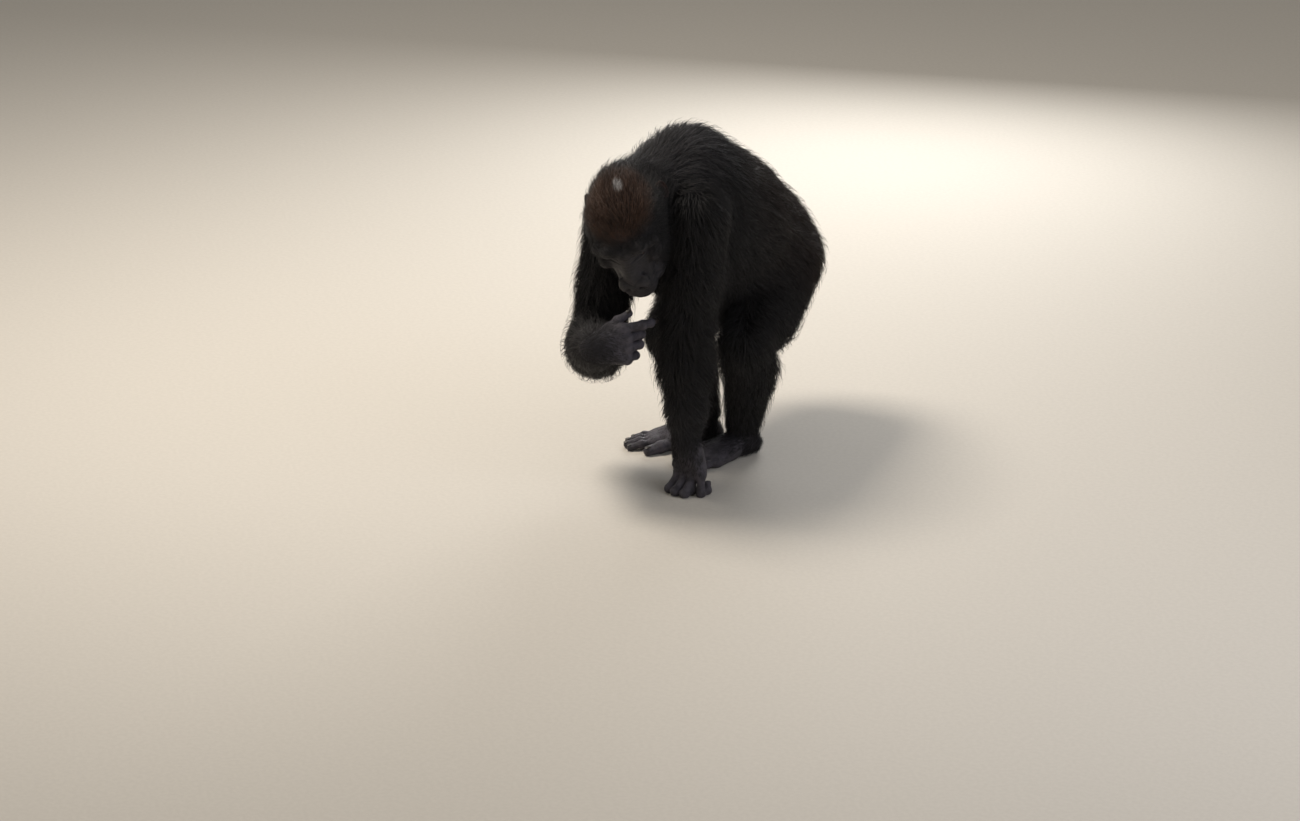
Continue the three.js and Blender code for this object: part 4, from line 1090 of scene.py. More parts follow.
def linear(text):
    """Linear colour of a hex sRGB one: c / 12.92 up to 0.04045, then
    ((c + 0.055) / 1.055) to the power of 2.4."""
    parts = [int(text[i:i + 2], 16) / 255 for i in (1, 3, 5)]
    return [c / 12.92 if c <= 0.04045 else ((c + 0.055) / 1.055) ** 2.4 for c in parts]


def node(tree, kind, settings=None, links=None):
    """Adds a node, sets its properties and inputs and links inputs to sockets."""
    made = tree.nodes.new("ShaderNode" + kind)
    for key, value in (settings or {}).items():
        if isinstance(key, str) and hasattr(made, key):
            setattr(made, key, value)
        else:
            made.inputs[key].default_value = value
    for key, socket in (links or {}).items():
        tree.links.new(socket, made.inputs[key])
    return made


def colour_mix(tree, share, first, second):
    """Mix of two colours, each a socket or a linear colour, by a share socket."""
    made = node(tree, "Mix", {"data_type": "RGBA"}, {0: share})
    for index, value in ((6, first), (7, second)):
        if isinstance(value, bpy.types.NodeSocket):
            tree.links.new(value, made.inputs[index])
        else:
            made.inputs[index].default_value = (*value, 1)
    return made.outputs[2]


def span(tree, value, low, high, bottom=0.0, top=1.0):
    """A number brought smoothly from one span to another."""
    made = node(tree, "MapRange", {"interpolation_type": "SMOOTHSTEP", 1: low, 2: high,
                                   3: bottom, 4: top}, {0: value})
    return made.outputs[0]


def times(tree, first, second):
    """Product of two numbers, the second a socket or a value."""
    made = node(tree, "Math", {"operation": "MULTIPLY"}, {0: first})
    if isinstance(second, bpy.types.NodeSocket):
        tree.links.new(second, made.inputs[1])
    else:
        made.inputs[1].default_value = second
    return made.outputs[0]


def patch(tree, place_socket, centre, radii, axes, soft):
    """Mark on the body: 1 inside an ellipsoid, falling to 0 over the share soft of its
    radius.  The point is measured along the three axes, each over its radius."""
    away = node(tree, "VectorMath", {"operation": "SUBTRACT", 1: centre},
                {0: place_socket}).outputs[0]
    parts = []
    for axis, radius in zip(axes, radii):
        parts.append(node(tree, "VectorMath", {"operation": "DOT_PRODUCT",
                                               1: tuple(np.asarray(axis) / radius)},
                          {0: away}).outputs["Value"])
    whole = node(tree, "CombineXYZ", links=dict(enumerate(parts))).outputs[0]
    length = node(tree, "VectorMath", {"operation": "LENGTH"}, {0: whole}).outputs["Value"]
    return span(tree, length, 1.0 - soft / 2, 1.0 + soft / 2, 1.0, 0.0)


def markings(tree, base, colours):
    """Colour of the coat and of the skin under it: the base, a ginger crown, a small pale
    tuft on it, a grey on the shoulders and forearms that is painted sunlit sheen, and a brown
    over the back and rump that is partly the hair's tint and partly painted sunlight on the top
    of the back.  Noise of 25 mm breaks the edges of the marks."""
    spot = node(tree, "TexCoord").outputs["Object"]
    noise = node(tree, "TexNoise", {"Scale": 40.0, "Detail": 3.0}, {"Vector": spot})
    push = node(tree, "VectorMath", {"operation": "MULTIPLY_ADD", 1: (0.03,) * 3,
                                     2: (-0.015,) * 3}, {0: noise.outputs["Color"]})
    warped = node(tree, "VectorMath", {"operation": "ADD"},
                  {0: spot, 1: push.outputs[0]}).outputs[0]
    marks = (
        # Brown over the top of the back and the rump: partly the hair's tint, partly painted
        # sunlight.
        ("brown_and_painted_sun_rump_colour", place(20, 240, 620), (0.24, 0.24, 0.26), np.eye(3), 0.9, 0.8),
        ("brown_and_painted_sun_rump_colour", place(60, 330, 420), (0.22, 0.16, 0.20), np.eye(3), 0.9, 0.8),
        # Grey over the shoulder tops and the forearms: painted sunlit sheen of the black hair.
        ("painted_sheen_grey_colour", place(40, -130, 830), (0.15, 0.12, 0.10), np.eye(3), 0.9, 0.8),
        ("painted_sheen_grey_colour", RIGHT_WRIST, (0.13, 0.13, 0.11), np.eye(3), 0.9, 0.75),
        ("painted_sheen_grey_colour", LEFT_WRIST, (0.10, 0.10, 0.12), np.eye(3), 0.8, 0.6),
        ("crown_colour", head(4, -2, 82), (0.098, 0.090, 0.060), HEAD_AXES, 0.55, 1.0),
        ("pale_colour", place(52, -397, 813), (0.012, 0.010, 0.026), np.eye(3), 0.9, 0.9),
    )
    found = base
    for name, centre, radii, axes, soft, most in marks:
        source = spot if name == "pale_colour" else warped
        share = times(tree, patch(tree, source, tuple(centre), radii, axes, soft), most)
        found = colour_mix(tree, share, found, list(getattr(colours, name)))
    return found


def fresh(name):
    """New material with nodes: its tree and its principled shader."""
    material = bpy.data.materials.new(name)
    material.use_nodes = True
    return material, material.node_tree, material.node_tree.nodes["Principled BSDF"]


def set_shader(shader, settings):
    """Constant inputs of a shader, set on its own sockets."""
    for key, value in settings.items():
        shader.inputs[key].default_value = value


def coat_material(colours):
    """Keratin hair, grown in thin locks: near black, with a soft broad gloss along the body.
    Each lock has its own shade, and its tip is a little lighter and browner than its root."""
    material, tree, shader = fresh("Keratin_hair_grown_in_locks")
    shade = node(tree, "Attribute", {"attribute_name": "shade"}).outputs["Fac"]
    along = node(tree, "Attribute", {"attribute_name": "along"}).outputs["Fac"]
    colour = markings(tree, list(colours.coat_colour), colours)
    dark = node(tree, "HueSaturation", {"Value": 0.42}, {"Color": colour}).outputs[0]
    light = node(tree, "HueSaturation", {"Value": 1.6, "Saturation": 0.95},
                 {"Color": colour}).outputs[0]
    colour = colour_mix(tree, shade, dark, light)
    root = node(tree, "HueSaturation", {"Value": 0.5}, {"Color": colour}).outputs[0]
    colour = colour_mix(tree, span(tree, along, 0.0, 0.7), root, colour)
    tree.links.new(colour, shader.inputs["Base Color"])
    rough = span(tree, shade, 0.0, 1.0, 0.74, 0.54)
    tree.links.new(rough, shader.inputs["Roughness"])
    set_shader(shader, {"IOR": 1.55, "Specular IOR Level": 0.34, "Sheen Weight": 0.03,
                        "Sheen Roughness": 0.45})
    return material


def skin_material(colours):
    """Bare skin, tanned dark and leathery: grey black with a waxy gloss on the ridges,
    browner and pinker on the ears, greyer on hands and feet, where the grey is partly dust and
    partly painted sunlight.  Its grain is a net of creases 1.6 mm across over lumps of 7 mm,
    drawn a little coarser than real so that it shows."""
    material, tree, shader = fresh("Bare_skin_leathery")
    spot = node(tree, "TexCoord").outputs["Object"]
    colour = markings(tree, list(colours.skin_colour), colours)
    bare_share = node(tree, "Attribute", {"attribute_name": "bare"}).outputs["Fac"]
    colour = colour_mix(tree, bare_share, colour, list(colours.skin_colour))
    for side in SIDES:
        share = patch(tree, spot, tuple(ear_place(side)), (0.045,) * 3, HEAD_AXES, 0.5)
        colour = colour_mix(tree, share, colour, list(colours.ear_colour))
    digit = node(tree, "Attribute", {"attribute_name": "digit"}).outputs["Fac"]
    # Grey of the hands and feet: partly dust, partly painted sunlight.
    colour = colour_mix(tree, digit, colour, list(colours.dust_and_painted_sun_hand_colour))
    blotch = node(tree, "TexNoise", {"Scale": 55.0, "Detail": 5.0, "Roughness": 0.6},
                  {"Vector": spot}).outputs["Fac"]
    dark = node(tree, "HueSaturation", {"Value": 0.62}, {"Color": colour}).outputs[0]
    light = node(tree, "HueSaturation", {"Value": 1.35}, {"Color": colour}).outputs[0]
    colour = colour_mix(tree, span(tree, blotch, 0.35, 0.65), dark, light)
    creases = node(tree, "TexVoronoi", {"feature": "DISTANCE_TO_EDGE", "Scale": 620.0},
                   {"Vector": spot}).outputs["Distance"]
    lumps = node(tree, "TexNoise", {"Scale": 150.0, "Detail": 4.0}, {"Vector": spot})
    height = node(tree, "Math", {"operation": "ADD"},
                  {0: span(tree, creases, 0.0, 0.25, 0.0, 0.5), 1: lumps.outputs["Fac"]})
    relief = node(tree, "Bump", {"Strength": 0.7, "Distance": 0.0016},
                  {"Height": height.outputs[0]})
    tree.links.new(relief.outputs[0], shader.inputs["Normal"])
    tree.links.new(colour, shader.inputs["Base Color"])
    tree.links.new(span(tree, blotch, 0.3, 0.7, 0.38, 0.60), shader.inputs["Roughness"])
    set_shader(shader, {"IOR": 1.44, "Specular IOR Level": 0.5})
    return material


def nail_material(colours):
    """Nail, a plate of keratin grown in fine ridges: dark grey brown, smooth and a little
    glossy."""
    material, tree, shader = fresh("Keratin_nail_grown_in_ridges")
    spot = node(tree, "TexCoord").outputs["Object"]
    ridges = node(tree, "TexNoise", {"Scale": 700.0, "Detail": 2.0}, {"Vector": spot})
    stain = node(tree, "TexNoise", {"Scale": 160.0, "Detail": 3.0}, {"Vector": spot})
    light = [c * 1.9 for c in colours.nail_colour]
    colour = colour_mix(tree, span(tree, stain.outputs["Fac"], 0.35, 0.7),
                        list(colours.nail_colour), light)
    relief = node(tree, "Bump", {"Strength": 0.25, "Distance": 0.0005},
                  {"Height": ridges.outputs["Fac"]})
    tree.links.new(colour, shader.inputs["Base Color"])
    tree.links.new(relief.outputs[0], shader.inputs["Normal"])
    set_shader(shader, {"Roughness": 0.34, "IOR": 1.55})
    return material


def eye_material(colours):
    """Eyeball under a wet clear cornea: a black pupil, a dark brown iris with fine spokes and
    a brown white that darkens toward the lids.  The ring number is the angle off the gaze."""
    material, tree, shader = fresh("Eyeball_wet_cornea")
    ring = node(tree, "Attribute", {"attribute_name": "ring"}).outputs["Fac"]
    spoke = node(tree, "Attribute", {"attribute_name": "spoke"}).outputs["Fac"]
    iris = colour_mix(tree, spoke, [c * 0.45 for c in colours.eye_colour],
                      list(colours.eye_colour))
    colour = colour_mix(tree, span(tree, ring, 0.10, 0.115), linear("#070707"), iris)
    colour = colour_mix(tree, span(tree, ring, 0.235, 0.25), colour, linear("#1c120d"))
    colour = colour_mix(tree, span(tree, ring, 0.26, 0.285), colour, linear("#3b2c25"))
    colour = colour_mix(tree, span(tree, ring, 0.33, 0.45), colour, linear("#211713"))
    tree.links.new(colour, shader.inputs["Base Color"])
    set_shader(shader, {"Roughness": 0.08, "IOR": 1.376, "Coat Weight": 1.0,
                        "Coat Roughness": 0.03})
    return material


# ---------------------------------------------------------------- properties

def colour_property(name, description, text):
    """A colour that a user may change, with its default as sRGB hex."""
    return FloatVectorProperty(name=name, description=description, subtype="COLOR", size=3,
                               min=0.0, max=1.0, default=linear(text))


class GorillaColours(bpy.types.PropertyGroup):
    """Colours of the coat, skin, nails and eyes."""

    coat_colour: colour_property("Coat", "Hair of the body", "#141113")
    crown_colour: colour_property("Crown", "Ginger hair on top of the head", "#472e1e")
    # Painted sunlit sheen: grey laid over the shoulders and forearms.
    painted_sheen_grey_colour: colour_property("Grey", "Hair of the shoulders and forearms", "#322f32")
    # Partly brown hair, partly painted sunlight on the top of the back.
    brown_and_painted_sun_rump_colour: colour_property("Rump", "Brownish hair on the back and rump", "#281a13")
    pale_colour: colour_property("Pale tuft", "Small tuft on the crown", "#b9b7b6")
    skin_colour: colour_property("Skin", "Bare skin of the face", "#262326")
    # Partly dust grey, partly painted sunlight.
    dust_and_painted_sun_hand_colour: colour_property("Hands", "Skin of the hands and feet", "#454148")
    ear_colour: colour_property("Ears", "Skin of the ears", "#34241f")
    nail_colour: colour_property("Nails", "Plates of the nails", "#211b19")
    eye_colour: colour_property("Eyes", "Iris", "#4a2412")


class GorillaSizes(bpy.types.PropertyGroup):
    """Sizes of the skin's mesh and of the coat's locks."""

    skin_cell: FloatProperty(name="Skin cell", description="Cell of the body's skin",
                             default=0.0078, min=0.004, max=0.02, unit="LENGTH")
    coat_length: FloatProperty(name="Coat length", description="Length of all locks",
                               default=1.0, min=0.3, max=2.0)
    lock_width: FloatProperty(name="Lock width", description="Width of all locks",
                              default=1.0, min=0.3, max=3.0)
    lock_spacing: FloatProperty(name="Lock spacing", description="Distance between roots",
                                default=1.0, min=0.7, max=4.0)
    seed: IntProperty(name="Seed", description="Seed of the coat's disorder", default=7)


# ---------------------------------------------------------------- pieces

FLESH = [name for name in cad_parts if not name.startswith("eye_")]
SKIN_PARTS = {}                # shells of the skin, kept for the coat


class GorillaSkin(bpy.types.Operator):
    """One skin over the whole body, with its folds, ears, hands and feet"""

    bl_idname = "gorilla.skin"
    bl_label = "Skin"

    def execute(self, context):
        sizes = context.scene.gorilla_sizes
        cell = sizes.skin_cell * 1.0
        shells = skin_meshes(cell)
        SKIN_PARTS["shells"] = shells
        points, faces = joined(shells)
        thing = make("skin", points, faces)
        count = [len(p) for p, _ in shells]
        digit = np.concatenate([np.zeros(sum(count[:4])), np.ones(sum(count[4:]))])
        wrist = np.minimum.reduce([np.linalg.norm(points - p, axis=1) for p in
                                   (LEFT_WRIST, RIGHT_WRIST, LEFT_ANKLE, RIGHT_ANKLE)])
        number(thing, "digit", digit * step(wrist, 0.01, 0.05))
        number(thing, "bare", np.clip(bare(points) + digit, 0, 1))
        keep(thing, skin_material(context.scene.gorilla_colours))
        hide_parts(*FLESH)
        return {"FINISHED"}


def ball(side):
    """Eyeball: a sphere over the angle off the gaze and the turn round it, with the cornea
    as a bulge of 0.9 mm on the gaze, a bell curve of 0.45 radians."""
    angle, turn, quads, caps = globe(36, 48)
    radius = EYE_RADIUS - 0.0003 + 0.0009 * bump(angle, 0.45)
    axes = eye_frame(side)
    way = (np.cos(angle)[:, None] * axes[0] + (np.sin(angle) * np.cos(turn))[:, None] * axes[1]
           + (np.sin(angle) * np.sin(turn))[:, None] * axes[2])
    points = eye_place(side) + way * radius[:, None]
    spoke = 0.5 + 0.3 * np.sin(turn * 24) + 0.2 * np.sin(turn * 11 + 1.0)
    return points, quads, caps, angle / np.pi, spoke


class GorillaEyes(bpy.types.Operator):
    """Two eyeballs with cornea, iris and pupil"""

    bl_idname = "gorilla.eyes"
    bl_label = "Eyes"

    def execute(self, context):
        material = eye_material(context.scene.gorilla_colours)
        for side, name in zip(SIDES, ("left", "right")):
            points, quads, caps, ring, spoke = ball(side)
            if side < 0:
                quads, caps = quads[:, ::-1], caps[:, ::-1]
            thing = make(f"eyeball_{name}", points, [quads, caps])
            number(thing, "ring", ring)
            number(thing, "spoke", spoke)
            keep(thing, material)
            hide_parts(f"eye_{name}")
        return {"FINISHED"}


def nail(joints, radius, back, size):
    """Nail: a lens bent over the end of a digit.  Over the turn a and the height h it is a
    flattened ball, wide by the digit's radius, long by size and 1.4 mm thick, whose every
    point is laid on a cylinder of the digit's radius."""
    tip, before = joints[-1], joints[-2]
    way = unit(tip - before)
    out = unit(back - way * (back @ way))
    side = np.cross(way, out)
    h, a, quads, caps = globe(10, 20)
    h = h - np.pi / 2
    flat = np.cos(h) ** 0.6
    across = np.sign(np.cos(a)) * np.abs(np.cos(a)) ** 0.7 * flat * radius * 0.72
    along = np.sign(np.sin(a)) * np.abs(np.sin(a)) ** 0.7 * flat * size
    thick = np.sin(h) * 0.0007
    bend_angle = across / radius
    reach = radius + 0.0002 + thick
    middle = tip + way * radius * 0.10
    points = (middle + side * (np.sin(bend_angle) * reach)[:, None]
              + out * (np.cos(bend_angle) * reach)[:, None] + way * along[:, None])
    points -= out * (np.maximum(along, 0) / size)[:, None] ** 2 * radius * 0.16
    if np.linalg.det(np.array([side, way, out])) > 0:
        quads, caps = quads[:, ::-1], caps[:, ::-1]
    return points, quads, caps


# Half lengths of the nails.
FINGER_NAIL = 0.0072
TOE_NAIL = 0.0062
BIG_TOE_NAIL = 0.0088


def nail_set():
    """Nails of all digits: the joints, the radius at the tip, the way out of the back of the
    digit and the half length of the nail."""
    found = []
    for hand, turns, thumb, _ in HANDS:
        for (row, size), bends in zip(FINGERS, turns):
            joints = finger_joints(hand, row, size, bends)
            last = np.radians(bends[-1])
            back = hand.dorsal * np.cos(last) - hand.distal * np.sin(last)
            found.append((joints, FINGER_RADII[1] * size / 1000, back, FINGER_NAIL * size))
        found.append((thumb, THUMB_RADII[1] / 1000, hand.dorsal * 0.6 + hand.radial * 0.8,
                      FINGER_NAIL))
    for foot in (LEFT_FOOT, RIGHT_FOOT):
        for row, size in TOES:
            found.append((toe_joints(foot, row, size), TOE_RADII[1] * size / 1000, UP,
                          TOE_NAIL * size))
        found.append((big_toe_joints(foot), BIG_TOE_RADII[1] / 1000, UP, BIG_TOE_NAIL))
    return found


class GorillaNails(bpy.types.Operator):
    """Nails of the fingers and toes"""

    bl_idname = "gorilla.nails"
    bl_label = "Nails"

    def execute(self, context):
        quads, caps, points, shift = [], [], [], 0
        for joints, radius, back, size in nail_set():
            p, q, c = nail(joints, radius, back, size)
            points.append(p)
            quads.append(q + shift)
            caps.append(c + shift)
            shift += len(p)
        thing = make("nails", np.concatenate(points),
                     [np.concatenate(quads), np.concatenate(caps)])
        keep(thing, nail_material(context.scene.gorilla_colours))
        return {"FINISHED"}


MOST_LOCKS = 12800             # in a piece: at 15 triangles each, under 200,000
GUARD_SHARE = 0.07             # share of long loose guard hairs
HAND_COAT_SPACING = 0.0034
HAND_COAT_WIDTH = 0.0013


def scatter(points, faces, spacing, rng, own):
    """Roots and normals spread over a mesh, one to a small cube, where own says so."""
    area = spots_on(points, faces, 1, rng)[2]
    count = int(area / spacing ** 2 * 5)
    root, normal, _ = spots_on(points, faces, count, rng)
    pick = own(root)
    root, normal = root[pick], normal[pick]
    pick = one_per_cell(root, spacing)
    return root[pick], normal[pick]


def tangled(root, normal, flow, rng):
    """Lie of the locks in the skin's plane: clumps of 55 mm lean together, and each lock
    leans a little its own way."""
    clump = waves(root, 0.055, 3) * 0.26
    flow = flow - normal * (flow * normal).sum(1)[:, None]
    strength = np.maximum(np.linalg.norm(flow, axis=1), 0.2)
    side = unit(np.cross(normal, flow))
    return unit(flow + side * ((clump + rng.normal(size=len(root)) * 0.16) * strength)[:, None])


def fringed(root, normal):
    """Share of the fringe at each root.  It hangs below the raised elbow, behind the left
    thigh and between the shins, and fades out over some 60 mm round the middles of these."""
    elbow = np.linalg.norm(root - RIGHT_ELBOW + UP * 0.02, axis=1)
    under = step(-elbow, -0.11, -0.05) * step(-normal[:, 2], -0.2, 0.4)
    middle = mix(LEFT_HIP, LEFT_KNEE, 0.8) + np.array([0, 0.12, -0.03])
    thigh = np.linalg.norm(root - middle, axis=1)
    behind = step(-thigh, -0.13, -0.06) * step(normal[:, 1] - normal[:, 2], 0.0, 0.8)
    facing = np.sign(root[:, 0] - mix(LEFT_ANKLE, RIGHT_ANKLE, 0.5)[0]) * -normal[:, 0]
    between = 0.6 * step(-np.abs(root[:, 2] - 0.18), -0.11, -0.06) * step(facing, 0.3, 0.8)
    legs = np.minimum(*[np.linalg.norm((root - mix(knee, ankle, 0.6))[:, :2], axis=1)
                        for knee, ankle in ((LEFT_KNEE, LEFT_ANKLE), (RIGHT_KNEE, RIGHT_ANKLE))])
    between = between * step(-legs, -0.13, -0.09)
    return np.maximum(np.maximum(under, behind), between)


def grow(region, points, faces, sizes, rng, own):
    """Locks of a region, kept where this region's rows are nearest and the skin isn't bare.
    Some are long loose guard hairs."""
    spacing = region.spacing * sizes.lock_spacing * 1.0
    root, normal = scatter(points, faces, spacing, rng, own)
    depth, flow = lie_of(region.rows, root)
    depth = np.maximum(depth, region.least)
    pick = rng.random(len(root)) > bare(root) * 1.05
    root, normal, depth, flow = root[pick], normal[pick], depth[pick], flow[pick]
    flow = tangled(root, normal, flow, rng)
    room = np.clip(-sample(coat_room, root), 0.004, 1.2 * depth)
    guard = rng.random(len(root)) < GUARD_SHARE
    spread = rng.uniform(0.72, 1.12, len(root)) * (1 + 0.12 * waves(root, 0.03, 5))
    length = region.longer * depth * spread * sizes.coat_length * np.where(guard, 1.3, 1.0)
    fringe = fringed(root, normal)
    length = length * (1 + 0.8 * fringe)
    lift = room * np.where(guard, 1.3, rng.uniform(0.5, 1.0, len(root)))
    width = region.width * sizes.lock_width * rng.uniform(0.7, 1.2, len(root))
    width = width * 1.0 * np.clip(depth / 0.020, 0.6, 1.0)
    loose = region.loose * np.where(guard, 1.8, rng.uniform(0.1, 1.0, len(root)))
    loose = loose + 0.026 * fringe * rng.random(len(root))
    return root, normal, flow, length, lift, width * np.where(guard, 0.7, 1.0), loose


def short_coat(wrist, along, back, reach, points, faces, sizes, rng):
    """Locks on the back of a hand or the top of a foot: they run from the wrist towards the
    digits, 18 mm long at first and 5 mm at last, on skin that faces the given way."""
    spacing = HAND_COAT_SPACING * sizes.lock_spacing * 1.0
    root, normal = scatter(points, faces, spacing, rng, lambda p: (p - wrist) @ along < reach)
    gone = (root - wrist) @ along / reach
    turned_back = step(normal @ back + 0.25 * waves(root, 0.02, 21), -0.1, 0.5)
    turned_back = np.maximum(turned_back, step(-gone, -0.20, 0.10))
    share = np.clip(1.15 - gone, 0, 1) * turned_back
    pick = (rng.random(len(root)) < share) & (root[:, 2] > 0.006)
    root, normal, gone = root[pick], normal[pick], np.clip(gone[pick], 0, 1)
    flow = tangled(root, normal, np.tile(along, (len(root), 1)) * 0.8
                   - np.array([0, 0, 0.3]), rng)
    length = (0.018 - 0.013 * gone) * rng.uniform(0.7, 1.15, len(root)) * sizes.coat_length
    lift = length * rng.uniform(0.16, 0.38, len(root))
    width = HAND_COAT_WIDTH * sizes.lock_width * rng.uniform(0.7, 1.2, len(root))
    return root, normal, flow, length, lift, width, np.zeros(len(root))


UV_PATCH = 0.003               # width of a lock's patch on the unwrap


def hang(name, path, root, parts, rng, material, free=False):
    """Coat piece of some locks, with the shade of each, how far along it each point is and
    its unwrap, a small patch for each lock at its root's place."""
    points = locks(root, *parts, rng, free)
    quads, tips = lock_faces(len(root))
    thing = make(name, points.reshape(-1, 3), [quads, tips])
    shade = np.clip(rng.normal(0.36, 0.24, len(root)) + 0.10 * waves(root, 0.04, 9), 0, 1)
    along = np.append(np.repeat(RINGS, 3), 1.0)
    number(thing, "shade", np.repeat(shade, LOCK_POINTS))
    number(thing, "along", np.tile(along, len(root)))
    turn, reach = on_path(root, path)
    reach = (reach - reach.min()) / max(np.ptp(reach), 1e-6)
    home = np.stack([0.01 + 0.98 * turn, 0.01 + 0.98 * reach], 1)
    corner = np.stack([np.append(np.tile([-0.5, 0.5, 0.0], 3), 0.0) * UV_PATCH,
                       (along - 0.5) * UV_PATCH], 1)
    spread = (home[:, None] + corner[None]).reshape(-1, 2)
    layer = thing.data.uv_layers.new(name="OFBake")
    loops = np.concatenate([quads.ravel(), tips.ravel()])
    layer.data.foreach_set("uv", spread[loops].astype(np.float32).ravel())
    keep(thing, material)


# Short coats: name, where they begin, the way they run, the way they face and how far.
ENDS = (
    ("hand_left", LEFT_HAND.wrist, LEFT_HAND.distal, LEFT_HAND.dorsal, 0.082),
    ("hand_right", RIGHT_HAND.wrist, RIGHT_HAND.distal, RIGHT_HAND.dorsal, 0.082),
    ("foot_left", LEFT_FOOT.at(-60, 0, 60), LEFT_FOOT.toes, UP, 0.105),
    ("foot_right", RIGHT_FOOT.at(-60, 0, 60), RIGHT_FOOT.toes, UP, 0.105),
)


class GorillaCoat(bpy.types.Operator):
    """Coat of thin overlapping locks over the skin, region by region"""

    bl_idname = "gorilla.coat"
    bl_label = "Coat"

    def execute(self, context):
        if "shells" not in SKIN_PARTS:
            raise RuntimeError("the skin comes before the coat")
        sizes = context.scene.gorilla_sizes
        rng = np.random.default_rng(sizes.seed)
        material = coat_material(context.scene.gorilla_colours)
        shells = SKIN_PARTS["shells"]
        every = [region.rows for region in REGIONS[1:]]

        def owner(points):
            away = np.stack([melted(rows, points, 0, 0.02) for rows in every])
            return away.argmin(0), away

        def in_round(points):
            return np.linalg.norm(points - HEAD_MIDDLE, axis=1) < HEAD_REACH + 0.004

        def on_head(points):
            buried = owner(points)[1][1:].min(0) < -0.003
            return in_round(points) & ~buried

        def on_trunk(points):
            return (owner(points)[0] == 0) & ~in_round(points)

        def on_limb(index):
            return lambda points: owner(points)[0] == index

        owns = [on_head, on_trunk, *[on_limb(i) for i in range(1, 5)]]
        for region, own in zip(REGIONS, owns):
            first = region.name == "head"
            root, *parts = grow(region, *shells[1 if first else 0], sizes, rng, own)
            order = np.argsort(on_path(root, region.path)[1])
            pieces = np.array_split(order, int(np.ceil(len(order) / MOST_LOCKS)))
            for i, part in enumerate(pieces):
                hang(f"coat_{region.name}_{i + 1}", region.path,
                     root[part],
                     [p[part] for p in parts], rng, material)
        for shell, (name, wrist, along, back, reach) in zip(shells[4:], ENDS):
            root, *parts = short_coat(wrist, along, back, reach, *shell, sizes, rng)
            hang(f"coat_{name}", np.array([wrist - along * 0.04, wrist + along * 0.1]),
                 root, parts, rng, material, free=True)
        return {"FINISHED"}


# ---------------------------------------------------------------- stage

VIEW_AZIMUTH, VIEW_ELEVATION = np.radians([34, 20])
VIEW_DISTANCE = 10.0
SENSOR = 36.0                  # millimetres
FOCUS = 4000.0                 # focal length in pixels of the picture
PICTURE_WIDTH = 1300.0
AIM = place(192, -262, 0)      # point that the picture was measured from
AIM_SHIFT = (-0.1125, 0.20625)      # middle of the picture off it, to the right and up
FLOOR_HALF, FLOOR_CELLS, FLOOR_DROP = 14, 28, 0.0005
WORLD_STRENGTH = 0.32
LAMP_TARGET = (0.0, -0.05, 0.5)
# Lamps: name, place to the right, up and towards the camera, size, power and colour.
LAMPS = (
    ("key", (-1.6, 3.6, 0.6), 1.3, 120, "#fff6ea"),
    ("fill", (2.6, 1.2, 2.4), 2.4, 30, "#eef3ff"),
    ("rim", (0.8, 2.6, -2.4), 1.6, 55, "#ffffff"),
)


def light(name, spot, target, size, power, colour):
    """Square area light that faces a point."""
    data = bpy.data.lights.new(name, "AREA")
    data.size = size
    data.energy = power
    data.color = colour
    lamp = bpy.data.objects.new(name, data)
    bpy.context.scene.collection.objects.link(lamp)
    lamp.location = spot
    way = Vector(target) - Vector(spot)
    lamp.rotation_euler = way.to_track_quat("-Z", "Y").to_euler()


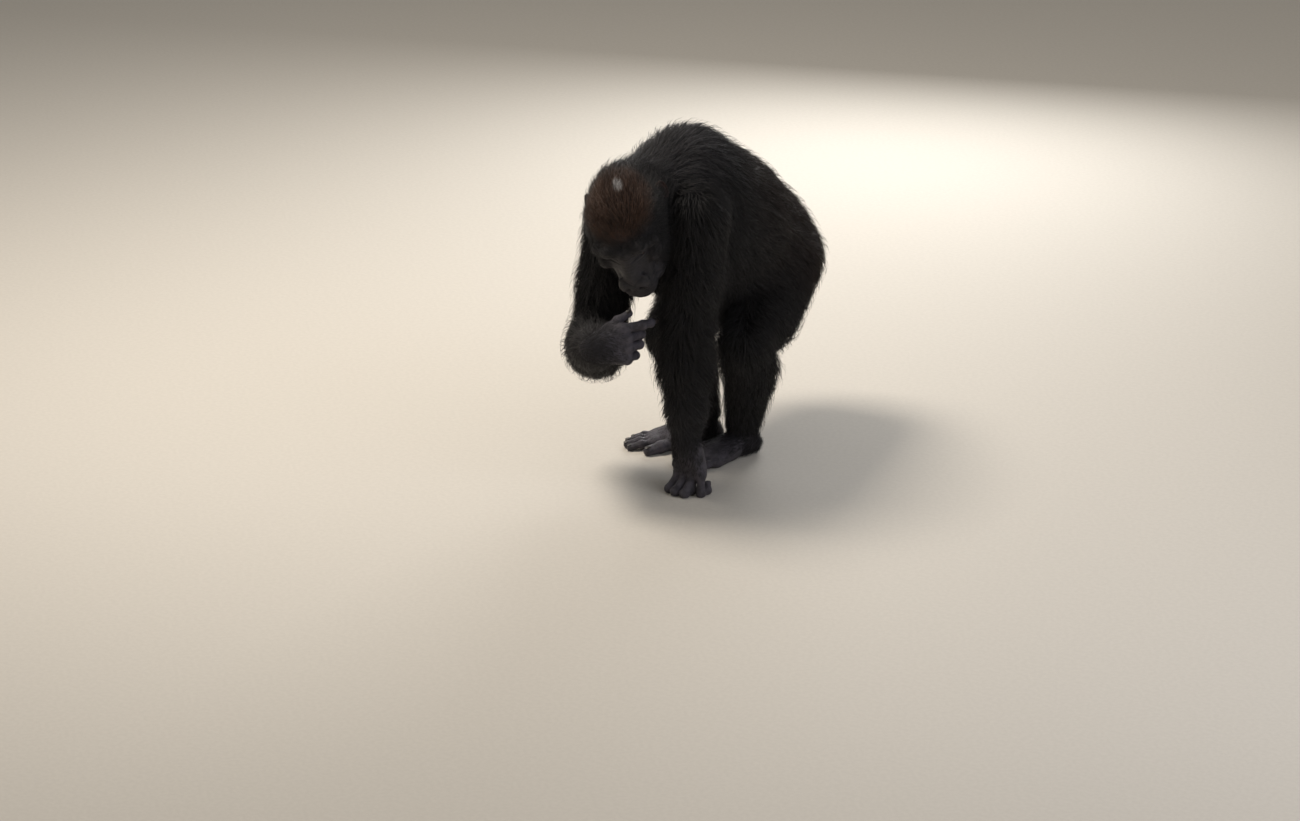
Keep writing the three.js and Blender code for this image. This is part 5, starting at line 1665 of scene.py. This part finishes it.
class GorillaStage(bpy.types.Operator):
    """Pale floor, soft light and the camera"""

    bl_idname = "gorilla.stage"
    bl_label = "Stage"

    def execute(self, context):
        a, e = VIEW_AZIMUTH, VIEW_ELEVATION
        back = np.array([np.sin(a) * np.cos(e), -np.cos(a) * np.cos(e), np.sin(e)])
        right = np.array([np.cos(a), np.sin(a), 0])
        up = np.cross(back, right)
        # Floor: a plain sheet of matt painted board, a grid of two parameters.
        lines = FLOOR_CELLS + 1
        x, y = np.meshgrid(*[np.linspace(-FLOOR_HALF, FLOOR_HALF, lines)] * 2, indexing="ij")
        points = np.stack([x.ravel(), y.ravel(), np.full(x.size, -FLOOR_DROP)], 1)
        i, j = np.meshgrid(*[np.arange(FLOOR_CELLS)] * 2, indexing="ij")
        low = (i * lines + j).ravel()
        floor = make("floor", points,
                     np.stack([low, low + lines, low + lines + 1, low + 1], 1))
        material, tree, shader = fresh("Matt_painted_board")
        spot = node(tree, "TexCoord").outputs["Object"]
        grain = node(tree, "TexNoise", {"Scale": 90.0, "Detail": 4.0}, {"Vector": spot})
        tree.links.new(colour_mix(tree, span(tree, grain.outputs["Fac"], 0.3, 0.7),
                                  linear("#d0cac0"), linear("#d4cec4")),
                       shader.inputs["Base Color"])
        set_shader(shader, {"Roughness": 0.85})
        floor.data.materials.append(material)
        world = bpy.data.worlds.new("Studio")
        context.scene.world = world
        world.use_nodes = True
        background = world.node_tree.nodes["Background"]
        background.inputs[0].default_value = (*linear("#e9e6e1"), 1)
        background.inputs[1].default_value = WORLD_STRENGTH
        for name, (across, above, before), size, power, colour in LAMPS:
            away = right * across + up * above + back * before
            light(name, tuple(away), LAMP_TARGET, size, power, linear(colour))
        data = bpy.data.cameras.new("camera")
        data.sensor_width = SENSOR
        data.lens = SENSOR * FOCUS / PICTURE_WIDTH
        data.clip_start = 0.5
        data.clip_end = 60
        camera = bpy.data.objects.new("camera", data)
        context.scene.collection.objects.link(camera)
        camera.location = AIM + right * AIM_SHIFT[0] + up * AIM_SHIFT[1] + back * VIEW_DISTANCE
        camera.rotation_mode = "QUATERNION"
        camera.rotation_quaternion = Vector(-back).to_track_quat("-Z", "Y")
        context.scene.camera = camera
        context.scene.view_settings.view_transform = "Standard"
        return {"FINISHED"}


OPERATORS = (GorillaSkin, GorillaEyes, GorillaNails, GorillaCoat, GorillaStage)


class GorillaPanel(bpy.types.Panel):
    """Sidebar panel that lists the pieces with their sizes and colours"""

    bl_idname = "VIEW3D_PT_gorilla"
    bl_label = "Gorilla"
    bl_space_type = "VIEW_3D"
    bl_region_type = "UI"
    bl_category = "Gorilla"

    def draw(self, context):
        for group in (context.scene.gorilla_sizes, context.scene.gorilla_colours):
            for key in group.__annotations__:
                self.layout.prop(group, key)
        for operator in OPERATORS:
            self.layout.operator(operator.bl_idname)


CLASSES = (GorillaColours, GorillaSizes, *OPERATORS, GorillaPanel)


def register():
    """Registers the classes and hangs the properties on the scene."""
    for kind in CLASSES:
        bpy.utils.register_class(kind)
    bpy.types.Scene.gorilla_colours = PointerProperty(type=GorillaColours)
    bpy.types.Scene.gorilla_sizes = PointerProperty(type=GorillaSizes)


def unregister():
    """Takes the properties and classes away again."""
    del bpy.types.Scene.gorilla_sizes
    del bpy.types.Scene.gorilla_colours
    for kind in reversed(CLASSES):
        bpy.utils.unregister_class(kind)


def main():
    """Registers the add-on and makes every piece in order."""
    register()
    for operator in OPERATORS:
        kind, name = operator.bl_idname.split(".")
        getattr(getattr(bpy.ops, kind), name)()


if __name__ == "__main__":
    main()
